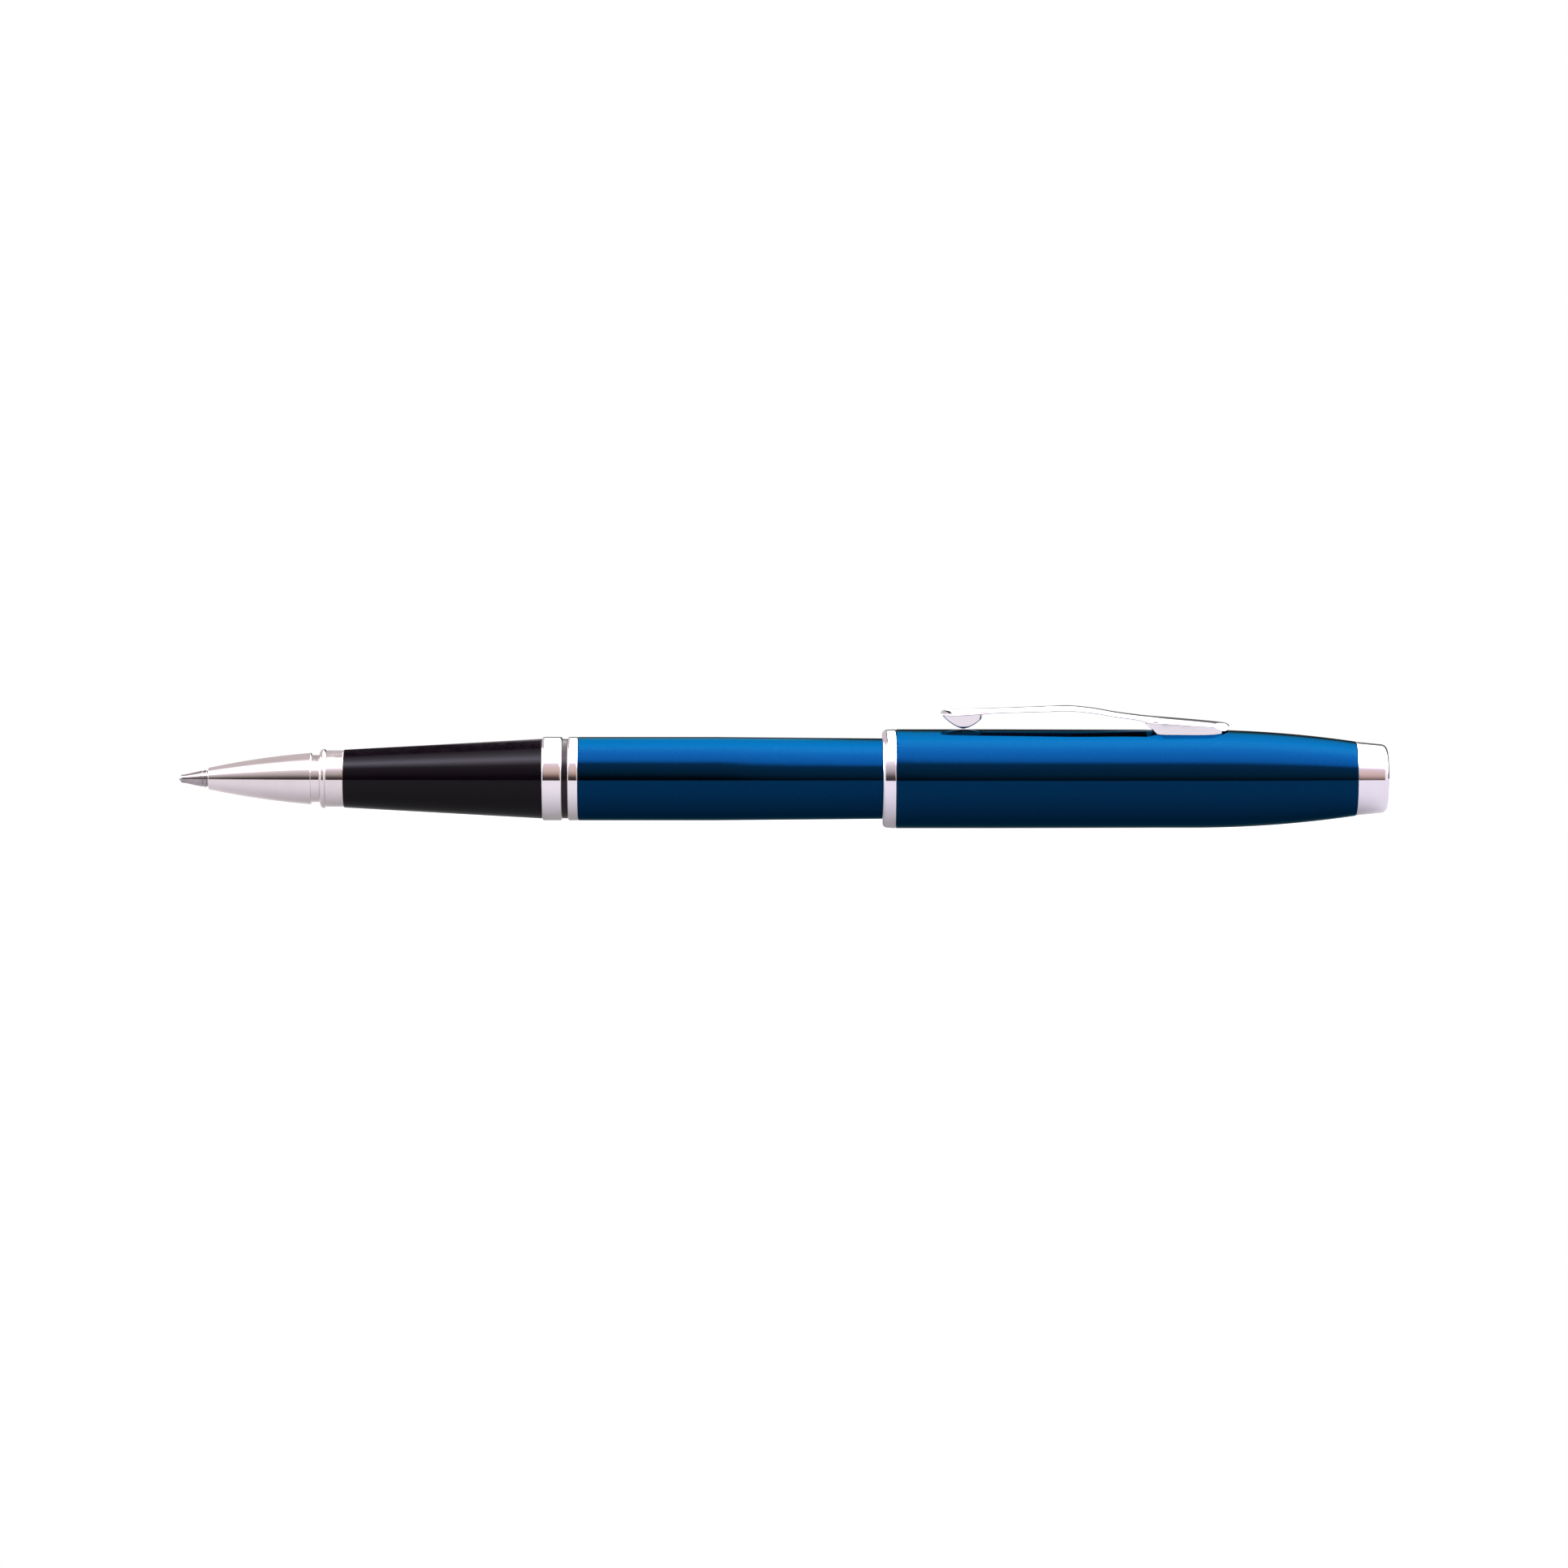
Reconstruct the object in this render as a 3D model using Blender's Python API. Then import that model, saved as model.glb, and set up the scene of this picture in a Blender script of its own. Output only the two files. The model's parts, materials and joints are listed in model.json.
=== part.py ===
"""Rollerball pen with its cap posted on the barrel's rear end, lying along X with the clip up.

Run it with: blender --background --python part.py

Sizes below are in millimetres, and the helpers turn them into Blender's metres. A station is a
distance along the pen from the writing ball's front; radii are measured from the pen's axis.
"""

import math

import bmesh
import bpy

MM = 0.001
TURN = 2 * math.pi

# Driving dimensions of the outside.
LENGTH = 148.8
CAP_RADIUS = 6.1
BARREL_RADIUS = 5.15
GRIP_FRONT_RADIUS = 3.58
GRIP_REAR_RADIUS = 4.92
COLLAR_RADIUS = 3.5
BEAD_RADIUS = 3.65
NECK_RADIUS = 2.92
GASKET_RADIUS = 4.9

# Stations where one outside piece ends and the next begins.
NOSE_FRONT = 3.6
NECK_FRONT = 16.3
COLLAR_FRONT = 17.35
GRIP_FRONT = 20.32
SECTION_RING_FRONT = 44.72
GASKET_FRONT = 47.22
BARREL_RING_FRONT = 47.9
BARREL_FRONT = 49.2
BARREL_STRAIGHT_END = 66.0
CAP_FRONT = 86.6
CAP_TUBE_FRONT = 88.3
BARREL_REAR = 116.5
PLUG_REAR = 118.0
FINIAL_FRONT = 144.92
REFILL_REAR = 110.0

# Gaps and walls.
SEAM = 0.04
FIT = 0.05
TUBE_WALL = 0.5

# The screw joint between section and barrel.
PITCH = 1.0
THREAD_TURNS = 6
THREAD_DEPTH = 0.45
MALE_CREST = 3.95
THREAD_CLEARANCE = 0.1
RIDGE_BASE = 0.6
RIDGE_TOP = 0.2

# The refill.
REFILL_RADIUS = 3.05
REFILL_BORE = 3.15
BALL_RADIUS = 0.35
POINT_RADIUS = 0.98

# The clip, which rocks about its tail.
CLIP_PIVOT_STATION = 129.3
CLIP_PIVOT_RADIUS = 6.05
TANG_FRONT = 122.3
TANG_REAR = 125.2
TANG_HALF_WIDTH = 0.9
KEEPER_STATION = 123.8
KEEPER_HEIGHT = 4.4
KEEPER_RADIUS = 0.25

SIDES = 32
SMALL_SIDES = 16

FINISHES = {
    "chrome": ((0.86, 0.85, 0.86), 0.08, 1.0),
    "blue_lacquer": ((0.01, 0.16, 0.46), 0.12, 0.9),
    "black_resin": ((0.012, 0.010, 0.014), 0.22, 0.0),
    "black_rubber": ((0.03, 0.028, 0.03), 0.5, 0.0),
    "brass": ((0.78, 0.57, 0.28), 0.25, 1.0),
    "steel": ((0.55, 0.53, 0.53), 0.3, 1.0),
    "carbide": ((0.35, 0.34, 0.34), 0.2, 1.0),
    "clear_resin": ((0.75, 0.77, 0.78), 0.35, 0.0),
    "white_resin": ((0.82, 0.82, 0.80), 0.4, 0.0),
    "ink_fibre": ((0.02, 0.05, 0.25), 0.9, 0.0),
}


def clear_scene():
    for old in list(bpy.data.objects):
        bpy.data.objects.remove(old)


def finish_of(name):
    """The Principled material of one finish, made once."""
    material = bpy.data.materials.get(name)
    if material is None:
        colour, roughness, metallic = FINISHES[name]
        material = bpy.data.materials.new(name)
        material.use_nodes = True
        shader = material.node_tree.nodes["Principled BSDF"]
        shader.inputs["Base Color"].default_value = (*colour, 1.0)
        shader.inputs["Roughness"].default_value = roughness
        shader.inputs["Metallic"].default_value = metallic
    return material


def empty_at(name, station, height, parent=None):
    """An empty on the pen's axis, or height above it, at a station."""
    empty = bpy.data.objects.new(name, None)
    bpy.context.scene.collection.objects.link(empty)
    empty.parent = parent
    empty.location = (station * MM, 0, height * MM)
    return empty


def object_from(name, shape, finish, parent):
    """Closes a bmesh into a named object under its parent, shaded smooth between sharp edges."""
    bmesh.ops.recalc_face_normals(shape, faces=shape.faces)
    mesh = bpy.data.meshes.new(name)
    shape.to_mesh(mesh)
    shape.free()
    mesh.shade_smooth()
    mesh.set_sharp_from_angle(angle=math.radians(35))
    mesh.materials.append(finish_of(finish))
    made = bpy.data.objects.new(name, mesh)
    bpy.context.scene.collection.objects.link(made)
    made.parent = parent
    return made


def turned(name, outline, finish, parent, sides=SIDES, angle=TURN):
    """An outline of (station, radius) points spun round the pen's axis. It closes on itself, or on the
    axis where it begins and ends with radius 0. An angle under a full turn leaves a slit."""
    shape = bmesh.new()
    corners = [shape.verts.new((s * MM, 0, r * MM)) for s, r in outline]
    on_axis = outline[0][1] == 0
    ends = corners[1:] if on_axis else corners[1:] + corners[:1]
    edges = [shape.edges.new(pair) for pair in zip(corners, ends)]
    whole = angle == TURN
    spun = bmesh.ops.spin(
        shape, geom=corners + edges, cent=(0, 0, 0), axis=(1, 0, 0), angle=angle, steps=sides
    )
    if not whole:
        shape.faces.new(corners)
        last = [v for v in spun["geom_last"] if isinstance(v, bmesh.types.BMVert)]
        shape.faces.new(last)
    bmesh.ops.remove_doubles(shape, verts=shape.verts, dist=1e-7)
    return object_from(name, shape, finish, parent)


def ring_of(shape, station, radius, sides):
    x, r = station * MM, radius * MM
    angles = [TURN * i / sides for i in range(sides)]
    return [shape.verts.new((x, -math.sin(a) * r, math.cos(a) * r)) for a in angles]


def threaded(name, before, after, far_side, thread, finish, parent, sides=SIDES):
    """A turned tube with a right-hand thread on one side: rings before the thread, the helical band,
    rings after it, and the rings of the other side back to the start. thread is (start, root, crest)."""
    shape = bmesh.new()
    start, root, crest = thread
    flank = (RIDGE_BASE - RIDGE_TOP) / 2
    offsets = (0.0, flank, flank + RIDGE_TOP, RIDGE_BASE)
    radii = (root, crest, crest, root)
    last = THREAD_TURNS * sides

    def helix_point(column, offset, radius):
        angle = TURN * column / sides
        station = start + PITCH * column / sides + offset
        return shape.verts.new(
            (station * MM, -math.sin(angle) * radius * MM, math.cos(angle) * radius * MM)
        )

    roots = [helix_point(i, 0.0, root) for i in range(last + sides + 1)]
    columns = [
        [roots[i]] + [helix_point(i, offsets[k], radii[k]) for k in (1, 2, 3)]
        for i in range(last + 1)
    ]
    for i in range(last):
        here, there = columns[i], columns[i + 1]
        for k in range(3):
            shape.faces.new((here[k], there[k], there[k + 1], here[k + 1]))
        shape.faces.new((here[3], there[3], roots[i + 1 + sides], roots[i + sides]))
    shape.faces.new(columns[0])
    shape.faces.new(columns[last][::-1])

    rings = [ring_of(shape, s, r, sides) for s, r in [*after, *far_side, *before]]
    for near, far in zip(rings, rings[1:]):
        for i in range(sides):
            j = (i + 1) % sides
            shape.faces.new((near[i], near[j], far[j], far[i]))
    first_ring, end_ring = rings[-1], rings[0]
    for i in range(sides - 1):
        shape.faces.new((first_ring[i], first_ring[i + 1], roots[i + 1], roots[i]))
    fan = [first_ring[0], roots[0], columns[0][3], roots[sides], roots[sides - 1]]
    for a, b in zip(fan, fan[1:]):
        shape.faces.new((first_ring[sides - 1], a, b))
    for i in range(1, sides):
        j = (i + 1) % sides
        shape.faces.new((roots[last + i], roots[last + i + 1], end_ring[j], end_ring[i]))
    fan = [roots[last], columns[last][3], roots[last + sides], end_ring[0], end_ring[1]]
    for a, b in zip(fan, fan[1:]):
        shape.faces.new((roots[last + 1], a, b))
    return object_from(name, shape, finish, parent)


def lofted(shape, sections):
    """Adds a closed skin over cross-sections that all have the same number of points."""
    rings = [[shape.verts.new((x * MM, y * MM, z * MM)) for x, y, z in section] for section in sections]
    count = len(rings[0])
    for near, far in zip(rings, rings[1:]):
        for i in range(count):
            j = (i + 1) % count
            shape.faces.new((near[i], near[j], far[j], far[i]))
    shape.faces.new(rings[0])
    shape.faces.new(rings[-1])


def block(name, low, high, finish, parent):
    """A box between two corners, in millimetres under its parent."""
    shape = bmesh.new()
    (x0, y0, z0), (x1, y1, z1) = low, high
    lofted(shape, [[(x, y0, z0), (x, y1, z0), (x, y1, z1), (x, y0, z1)] for x in (x0, x1)])
    return object_from(name, shape, finish, parent)


def rod_across(name, station, height, radius, half_length, finish, parent, sides=SMALL_SIDES):
    """A round rod along Y."""
    shape = bmesh.new()
    turn = [TURN * i / sides for i in range(sides)]
    lofted(
        shape,
        [
            [(station + radius * math.cos(a), y, height + radius * math.sin(a)) for a in turn]
            for y in (-half_length, half_length)
        ],
    )
    return object_from(name, shape, finish, parent)


def combine(target, tool, operation):
    """A Boolean on the target with a hidden tool object."""
    tool.hide_render = True
    tool.display_type = "WIRE"
    modifier = target.modifiers.new(operation.title(), "BOOLEAN")
    modifier.operation = operation
    modifier.solver = "EXACT"
    modifier.object = tool


def arc(centre_station, centre_radius, radius, from_degrees, to_degrees, steps):
    """Points of an arc in the outline plane; 0 degrees points along the pen, 90 outwards."""
    sweep = to_degrees - from_degrees
    angles = [math.radians(from_degrees + sweep * i / steps) for i in range(steps + 1)]
    return [(centre_station + radius * math.cos(a), centre_radius + radius * math.sin(a)) for a in angles]


def cap_radius(station):
    """The cap's outer radius: almost straight, then one long arc that draws in towards the finial."""
    curve_start, curve_radius, waist_loss = 124.9, 138.0, 0.05
    straight = CAP_RADIUS - waist_loss * min(1.0, max(0.0, (station - 100.0) / 20.0))
    if station <= curve_start:
        return straight
    along = station - curve_start
    return straight - (curve_radius - math.sqrt(curve_radius**2 - along**2))


def barrel_radius(station):
    """The barrel's outer radius: straight behind its ring, then a slight taper to the rear."""
    if station <= BARREL_STRAIGHT_END:
        return BARREL_RADIUS
    return BARREL_RADIUS - 0.0088 * (station - BARREL_STRAIGHT_END)


def nose_radius(station):
    """The nose cone's outer radius: one shallow arc from its front rim to its rear edge."""
    front, rear, bulge = 1.34, 3.19, 0.22
    share = (station - NOSE_FRONT) / (NECK_FRONT - NOSE_FRONT)
    return front + (rear - front) * share + 4 * bulge * share * (1 - share)


def spaced(low, high, steps):
    return [low + (high - low) * i / steps for i in range(steps + 1)]


# The refill: ball, point, holder, feed, tube, filler and plug.


def make_writing_ball(axis):
    shape = bmesh.new()
    bmesh.ops.create_icosphere(shape, subdivisions=2, radius=BALL_RADIUS * MM)
    ball = object_from("writing_ball", shape, "carbide", axis)
    ball.location = (BALL_RADIUS * MM, 0, 0)


def make_point_socket(axis):
    """The steel point: a cone with a flange, bored for ink, with a seat that holds the ball."""
    seat = BALL_RADIUS + 0.03
    outline = [
        (0.20, 0.34),
        (0.20, 0.42),
        (0.34, 0.52),
        (2.65, 0.93),
        (2.95, 0.95),
        (2.95, 1.03),
        (3.50, 1.03),
        (3.50, POINT_RADIUS),
        (6.50, POINT_RADIUS),
        (6.50, 0.57),
        (3.90, 0.57),
        (3.60, 0.20),
        (0.75, 0.20),
        *arc(BALL_RADIUS, 0, seat, 35, 90, 3),
    ]
    turned("point_socket", outline, "steel", axis, SMALL_SIDES)


def make_point_holder(axis):
    """The plastic front of the refill, whose shoulder seats in the grip."""
    outline = [
        (6.00, 1.02),
        (6.00, 1.15),
        (13.5, 2.20),
        (25.7, 2.25),
        (27.1, REFILL_RADIUS),
        (27.2, REFILL_RADIUS),
        (27.2, 2.70),
        (31.0, 2.70),
        (31.0, 0.56),
        (6.60, 0.56),
        (6.60, 1.02),
    ]
    turned("point_holder", outline, "clear_resin", axis)


def make_ink_feed(axis):
    outline = [(4.0, 0), (4.0, 0.35), (4.3, 0.5), (33.0, 0.5), (33.0, 0)]
    turned("ink_feed", outline, "ink_fibre", axis, SMALL_SIDES)


def make_ink_tube(axis):
    front, rear, inside = 27.24, 109.0, 2.75
    outline = [(front, inside), (front, REFILL_RADIUS), (rear, REFILL_RADIUS), (rear, inside)]
    turned("ink_tube", outline, "steel", axis)


def make_ink_filler(axis):
    front, rear, radius, socket, depth = 31.1, 106.9, 2.68, 0.56, 33.1
    outline = [(front, socket), (front, radius), (rear, radius), (rear, 0), (depth, 0), (depth, socket)]
    shifted = outline[3:4] + outline[2::-1] + outline[:3:-1]
    turned("ink_filler", shifted, "ink_fibre", axis, SMALL_SIDES)


def make_refill_plug(axis):
    """The rear plug, with a vent through it."""
    vent = 0.3
    outline = [
        (107.0, vent),
        (107.0, 2.70),
        (109.04, 2.70),
        (109.04, REFILL_RADIUS),
        (109.7, REFILL_RADIUS),
        (REFILL_REAR, 2.75),
        (REFILL_REAR, vent),
    ]
    turned("refill_plug", outline, "white_resin", axis, SMALL_SIDES)


# The section: nose cone, collar, grip, threaded bush and ring, and the gasket behind them.


def make_nose_cone(axis):
    """A bored ogive, a narrower neck, and the spigot that carries the collar and the grip."""
    spigot = 2.86
    outline = [
        (NOSE_FRONT, 1.09),
        *[(s, nose_radius(s)) for s in spaced(NOSE_FRONT, NECK_FRONT, 6)],
        (NECK_FRONT, NECK_RADIUS),
        (COLLAR_FRONT - FIT, NECK_RADIUS),
        (COLLAR_FRONT - FIT, spigot),
        (23.9, spigot),
        (23.9, 2.40),
        (14.0, 2.36),
        (5.00, 1.09),
    ]
    turned("nose_cone", outline, "chrome", axis)


def make_front_collar(axis):
    """A chrome sleeve with a rounded bead at its front edge."""
    bore, bead_width = 2.92, 0.9
    bead = arc(COLLAR_FRONT + bead_width / 2, BEAD_RADIUS - 0.3, 0.3, 150, 30, 3)
    rear = GRIP_FRONT - SEAM
    outline = [
        (COLLAR_FRONT, bore),
        (COLLAR_FRONT, 3.3),
        *bead,
        (COLLAR_FRONT + bead_width, COLLAR_RADIUS),
        (rear, COLLAR_RADIUS),
        (rear, bore),
    ]
    turned("front_collar", outline, "chrome", axis)


def make_grip(axis):
    """The black grip, bored in steps for the nose's spigot, the refill's shoulder and the bush."""
    rear = SECTION_RING_FRONT - SEAM
    outline = [
        (GRIP_FRONT, 2.92),
        (GRIP_FRONT, GRIP_FRONT_RADIUS),
        (rear, GRIP_REAR_RADIUS),
        (rear, 3.68),
        (30.0, 3.68),
        (30.0, REFILL_BORE),
        (27.0, REFILL_BORE),
        (25.6, 2.40),
        (24.0, 2.40),
        (24.0, 2.92),
    ]
    turned("grip", outline, "black_resin", axis)


def make_section_bush(axis):
    """The brass bush in the grip's rear, with the male thread behind its shoulder."""
    seat, rear = 3.96, 56.5
    root = MALE_CREST - THREAD_DEPTH
    start = BARREL_RING_FRONT + 0.3
    band = THREAD_TURNS * PITCH + PITCH
    front, shoulder = SECTION_RING_FRONT - SEAM / 2, BARREL_RING_FRONT - SEAM
    before = [(30.05, 3.62), (front, 3.62), (front, seat), (shoulder, seat), (shoulder, root)]
    after = [(start + band + 0.3, root), (rear - 0.3, root), (rear, root - 0.2)]
    far_side = [(rear, REFILL_BORE), (30.05, REFILL_BORE)]
    threaded("section_bush", before, after, far_side, (start, root, MALE_CREST), "brass", axis)


def make_section_ring(axis):
    rear, edge = GASKET_FRONT - SEAM, 0.12
    outline = [
        (SECTION_RING_FRONT, 4.01),
        (SECTION_RING_FRONT, BARREL_RADIUS - edge),
        (SECTION_RING_FRONT + edge, BARREL_RADIUS),
        (rear - edge, BARREL_RADIUS),
        (rear, BARREL_RADIUS - edge),
        (rear, 4.01),
    ]
    turned("section_ring", outline, "chrome", axis)


def make_section_gasket(axis):
    rear = BARREL_RING_FRONT - SEAM
    outline = [(GASKET_FRONT, 4.02), (GASKET_FRONT, GASKET_RADIUS), (rear, GASKET_RADIUS), (rear, 4.02)]
    turned("section_gasket", outline, "black_rubber", axis)


# The barrel: ring, threaded bush, tube, end plug and the refill's spring.


def make_barrel_ring(axis):
    rear, edge, bore = BARREL_FRONT - SEAM, 0.12, 4.55
    outline = [
        (BARREL_RING_FRONT, bore),
        (BARREL_RING_FRONT, BARREL_RADIUS - edge),
        (BARREL_RING_FRONT + edge, BARREL_RADIUS),
        (rear, BARREL_RADIUS),
        (rear, bore),
    ]
    turned("barrel_ring", outline, "chrome", axis)


def make_barrel_bush(axis):
    """The brass bush in the barrel's mouth, with the female thread for the section."""
    outside, rear = 4.5, 58.5
    root = MALE_CREST + THREAD_CLEARANCE
    crest = MALE_CREST - THREAD_DEPTH + THREAD_CLEARANCE
    start = BARREL_RING_FRONT + 0.3 + PITCH / 2
    band = THREAD_TURNS * PITCH + PITCH
    front = BARREL_RING_FRONT + 0.04
    before = [(front, outside), (front, root)]
    after = [(start + band + 0.3, root), (rear, root)]
    far_side = [(rear, outside)]
    threaded("barrel_bush", before, after, far_side, (start, root, crest), "brass", axis)


def make_barrel_tube(axis):
    stations = (BARREL_FRONT, BARREL_STRAIGHT_END, CAP_FRONT, BARREL_REAR)
    outside = [(s, barrel_radius(s)) for s in stations]
    inside = [(s, r - TUBE_WALL) for s, r in reversed(outside)]
    inside[0] = (BARREL_REAR, barrel_radius(BARREL_REAR) - TUBE_WALL)
    turned("barrel_tube", outside + inside, "blue_lacquer", axis)


def make_barrel_end_plug(axis):
    """The rounded rear end, with a spigot in the tube and a pocket for the refill's spring."""
    front = BARREL_REAR + SEAM
    radius = barrel_radius(BARREL_REAR)
    corner = 0.7
    outline = [
        (PLUG_REAR, 0),
        *arc(PLUG_REAR - corner, radius - corner, corner, 0, 90, 3),
        (front, radius),
        (front, 4.12),
        (112.0, 4.12),
        (112.0, 2.70),
        (116.9, 2.70),
        (116.9, 0),
    ]
    turned("barrel_end_plug", outline, "chrome", axis)


def make_refill_spring(axis):
    """A compression spring between the refill's plug and the barrel's end plug."""
    wire, mean, turns, steps, sides = 0.2, 2.1, 5, 12, 6
    front, rear = REFILL_REAR + 0.05 + wire, 116.85 - wire
    count = turns * steps
    shape = bmesh.new()
    sections = []
    for i in range(count + 1):
        angle = TURN * i / steps
        station = front + (rear - front) * i / count
        section = []
        for k in range(sides):
            around = TURN * k / sides
            radius = mean + wire * math.cos(around)
            section.append(
                (station + wire * math.sin(around), radius * math.sin(angle), radius * math.cos(angle))
            )
        sections.append(section)
    lofted(shape, sections)
    object_from("refill_spring", shape, "steel", axis)


# The cap: lip ring, snap ring, tube, friction sleeve, inner cap, end bush, screw and finial.


def make_cap_lip_ring(axis):
    """The chrome mouth of the cap, grooved inside for the snap ring, with a spigot in the tube."""
    rear = CAP_TUBE_FRONT - SEAM
    outline = [
        (CAP_FRONT, 5.25),
        (CAP_FRONT, 5.75),
        (CAP_FRONT + 0.12, 5.93),
        (CAP_FRONT + 0.45, 6.03),
        (rear, CAP_RADIUS - 0.02),
        (rear, 5.54),
        (91.5, 5.54),
        (91.5, 5.25),
        (88.4, 5.25),
        (88.4, 5.44),
        (87.1, 5.44),
        (87.1, 5.25),
    ]
    turned("cap_lip_ring", outline, "chrome", axis)


def make_cap_snap_ring(axis):
    """A split spring ring, loose in the lip ring's groove, that clicks into the gasket's groove."""
    outline = [(87.2, 5.20), (87.2, 5.38), (88.3, 5.38), (88.3, 5.20), (88.0, 5.07), (87.5, 5.07)]
    turned("cap_snap_ring", outline, "steel", axis, SIDES - 1, TURN * (SIDES - 1) / SIDES)


def make_cap_tube(axis):
    """The lacquered tube, with a slot in its top for the clip's tang."""
    stations = [CAP_TUBE_FRONT, 100.0, 120.0, *spaced(125.0, FINIAL_FRONT - SEAM, 5)]
    outside = [(s, cap_radius(s)) for s in stations]
    inside = [(s, r - TUBE_WALL) for s, r in reversed(outside)]
    tube = turned("cap_tube", outside + inside, "blue_lacquer", axis)
    gap = 0.3
    slot = block(
        "clip_slot_cutter",
        (TANG_FRONT - gap, -TANG_HALF_WIDTH - 0.2, CAP_RADIUS - 1.4),
        (TANG_REAR + gap, TANG_HALF_WIDTH + 0.2, CAP_RADIUS + 0.6),
        "blue_lacquer",
        axis,
    )
    combine(tube, slot, "DIFFERENCE")


def make_cap_sleeve(axis):
    """The plastic sleeve that grips the barrel's rear end."""
    front, rear, outside = 104.0, 118.3, 5.5
    outline = [
        (front, outside),
        (rear, outside),
        (rear, 4.80),
        (front + 2.0, 4.88),
        (front, 5.15),
    ]
    turned("cap_friction_sleeve", outline, "black_resin", axis)


def make_inner_cap(axis):
    """The cup that closes round the nose: a centring flange, a sealing lip and a closed end."""
    flange, outside, inside = 5.5, 3.9, 3.4
    outline = [
        (138.4, 0),
        (138.4, 2.6),
        (136.0, outside),
        (119.8, outside),
        (119.8, flange),
        (118.7, flange),
        (118.7, 3.22),
        (119.6, 3.22),
        (120.2, inside),
        (135.5, inside),
        (137.6, 1.4),
        (137.6, 0),
    ]
    turned("inner_cap", outline, "white_resin", axis)


def make_cap_end_bush(axis):
    """The brass disc that closes the tube's end and takes the finial's screw."""
    front, rear, bore = 140.4, FINIAL_FRONT - SEAM, 1.08
    outside = [(s, cap_radius(s) - TUBE_WALL - FIT) for s in spaced(front, rear, 2)]
    turned("cap_end_bush", [(front, bore), *outside, (rear, bore)], "brass", axis)


def make_finial_screw(axis):
    """The screw through the bush, with a hexagon socket in its head."""
    head, shank, head_front, seat, tip = 2.0, 1.0, 138.7, 140.35, 147.0
    outline = [
        (tip, 0),
        (tip, shank - 0.25),
        (tip - 0.3, shank),
        (seat, shank),
        (seat, head),
        (head_front + 0.2, head),
        (head_front, head - 0.2),
        (head_front, 0),
    ]
    screw = turned("finial_screw", outline, "steel", axis, SMALL_SIDES)
    socket = turned(
        "screw_socket_cutter",
        [(head_front - 0.5, 0), (head_front - 0.5, 0.9), (head_front + 0.9, 0.9), (head_front + 0.9, 0)],
        "steel",
        axis,
        6,
    )
    combine(screw, socket, "DIFFERENCE")


def make_cap_finial(axis):
    """The chrome end of the cap, with a flat face and a blind hole for the screw."""
    front_radius, rear_radius, corner, hole = 4.55, 4.24, 0.8, 1.08
    front = FINIAL_FRONT
    outline = [
        (LENGTH, 0),
        *arc(LENGTH - corner, rear_radius - corner, corner, 0, 80, 4),
        (front, front_radius),
        (front, hole),
        (147.3, hole),
        (147.3, 0),
    ]
    turned("cap_finial", outline, "chrome", axis)


# The clip and what holds it.


# Rows of the strap: station, top, lower edge, half width. Heights are from the pen's axis.
STRAP = (
    (93.85, 8.26, 7.96, 0.55),
    (94.05, 8.38, 7.80, 0.95),
    (95.20, 8.54, 7.70, 1.38),
    (98.20, 8.66, 7.85, 1.50),
    (100.6, 8.73, 8.05, 1.52),
    (106.4, 8.94, 8.21, 1.65),
    (109.3, 9.05, 8.30, 1.72),
    (112.1, 8.83, 8.09, 1.80),
    (115.5, 8.27, 7.55, 1.95),
    (118.4, 7.90, 7.12, 2.20),
    (119.6, 7.78, 6.76, 2.50),
    (121.2, 7.65, 6.69, 2.92),
    (125.5, 7.29, 6.39, 2.95),
    (127.4, 7.10, 6.29, 2.78),
    (128.6, 6.98, 6.26, 2.10),
    (129.3, 6.72, 6.24, 1.10),
)


def strap_at(station):
    """The strap's top, lower edge and half width at a station between two rows."""
    for near, far in zip(STRAP, STRAP[1:]):
        if station <= far[0]:
            break
    share = (station - near[0]) / (far[0] - near[0])
    return [a + (b - a) * share for a, b in zip(near[1:], far[1:])]


def strap_section(station, top, edge, half_width):
    """One cross-section of the clip's strap: an arched top, thin edges and a flat underside."""
    side = 0.1
    rise = top - edge - side
    shares = (1, 0.6, 0, -0.6, -1)
    arch = [(share * half_width, edge + side + rise * (1 - share * share)) for share in shares]
    outline = [(half_width, edge), *arch, (-half_width, edge)]
    return [(station - CLIP_PIVOT_STATION, y, z - CLIP_PIVOT_RADIUS) for y, z in outline]


def foot_section(station, lowest):
    """One cross-section of the clip's foot: flanks that lean in from the strap's edges, over a hollow
    that fits the cap or, in front, over the foot's sloping face."""
    inset, lean = 0.03, 0.1
    _, edge, half_width = strap_at(station)
    wide = half_width - inset
    narrow = wide - min(lean, 0.4 * half_width)
    on_cap = cap_radius(station) + SEAM
    outline = [(wide, edge + 0.07), (-wide, edge + 0.07)]
    for share in (-1, -0.6, -0.2, 0.2, 0.6, 1):
        y = share * narrow
        outline.append((y, max(lowest, math.sqrt(on_cap**2 - y**2))))
    return [(station - CLIP_PIVOT_STATION, y, z - CLIP_PIVOT_RADIUS) for y, z in outline]


def pad_section(station, bottom, half_width):
    """One cross-section of the clip's pad: flanks that lean in, and a softened bottom edge."""
    _, edge, _ = strap_at(station)
    top = edge + 0.08
    lean, soft = 0.21 * (top - bottom), min(0.22, 0.4 * (top - bottom))
    corners = [(half_width, top), (half_width - lean, bottom + soft), (half_width - lean - soft, bottom)]
    outline = [*corners, *[(-y, z) for y, z in reversed(corners)]]
    return [(station - CLIP_PIVOT_STATION, y, z - CLIP_PIVOT_RADIUS) for y, z in outline]


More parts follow.
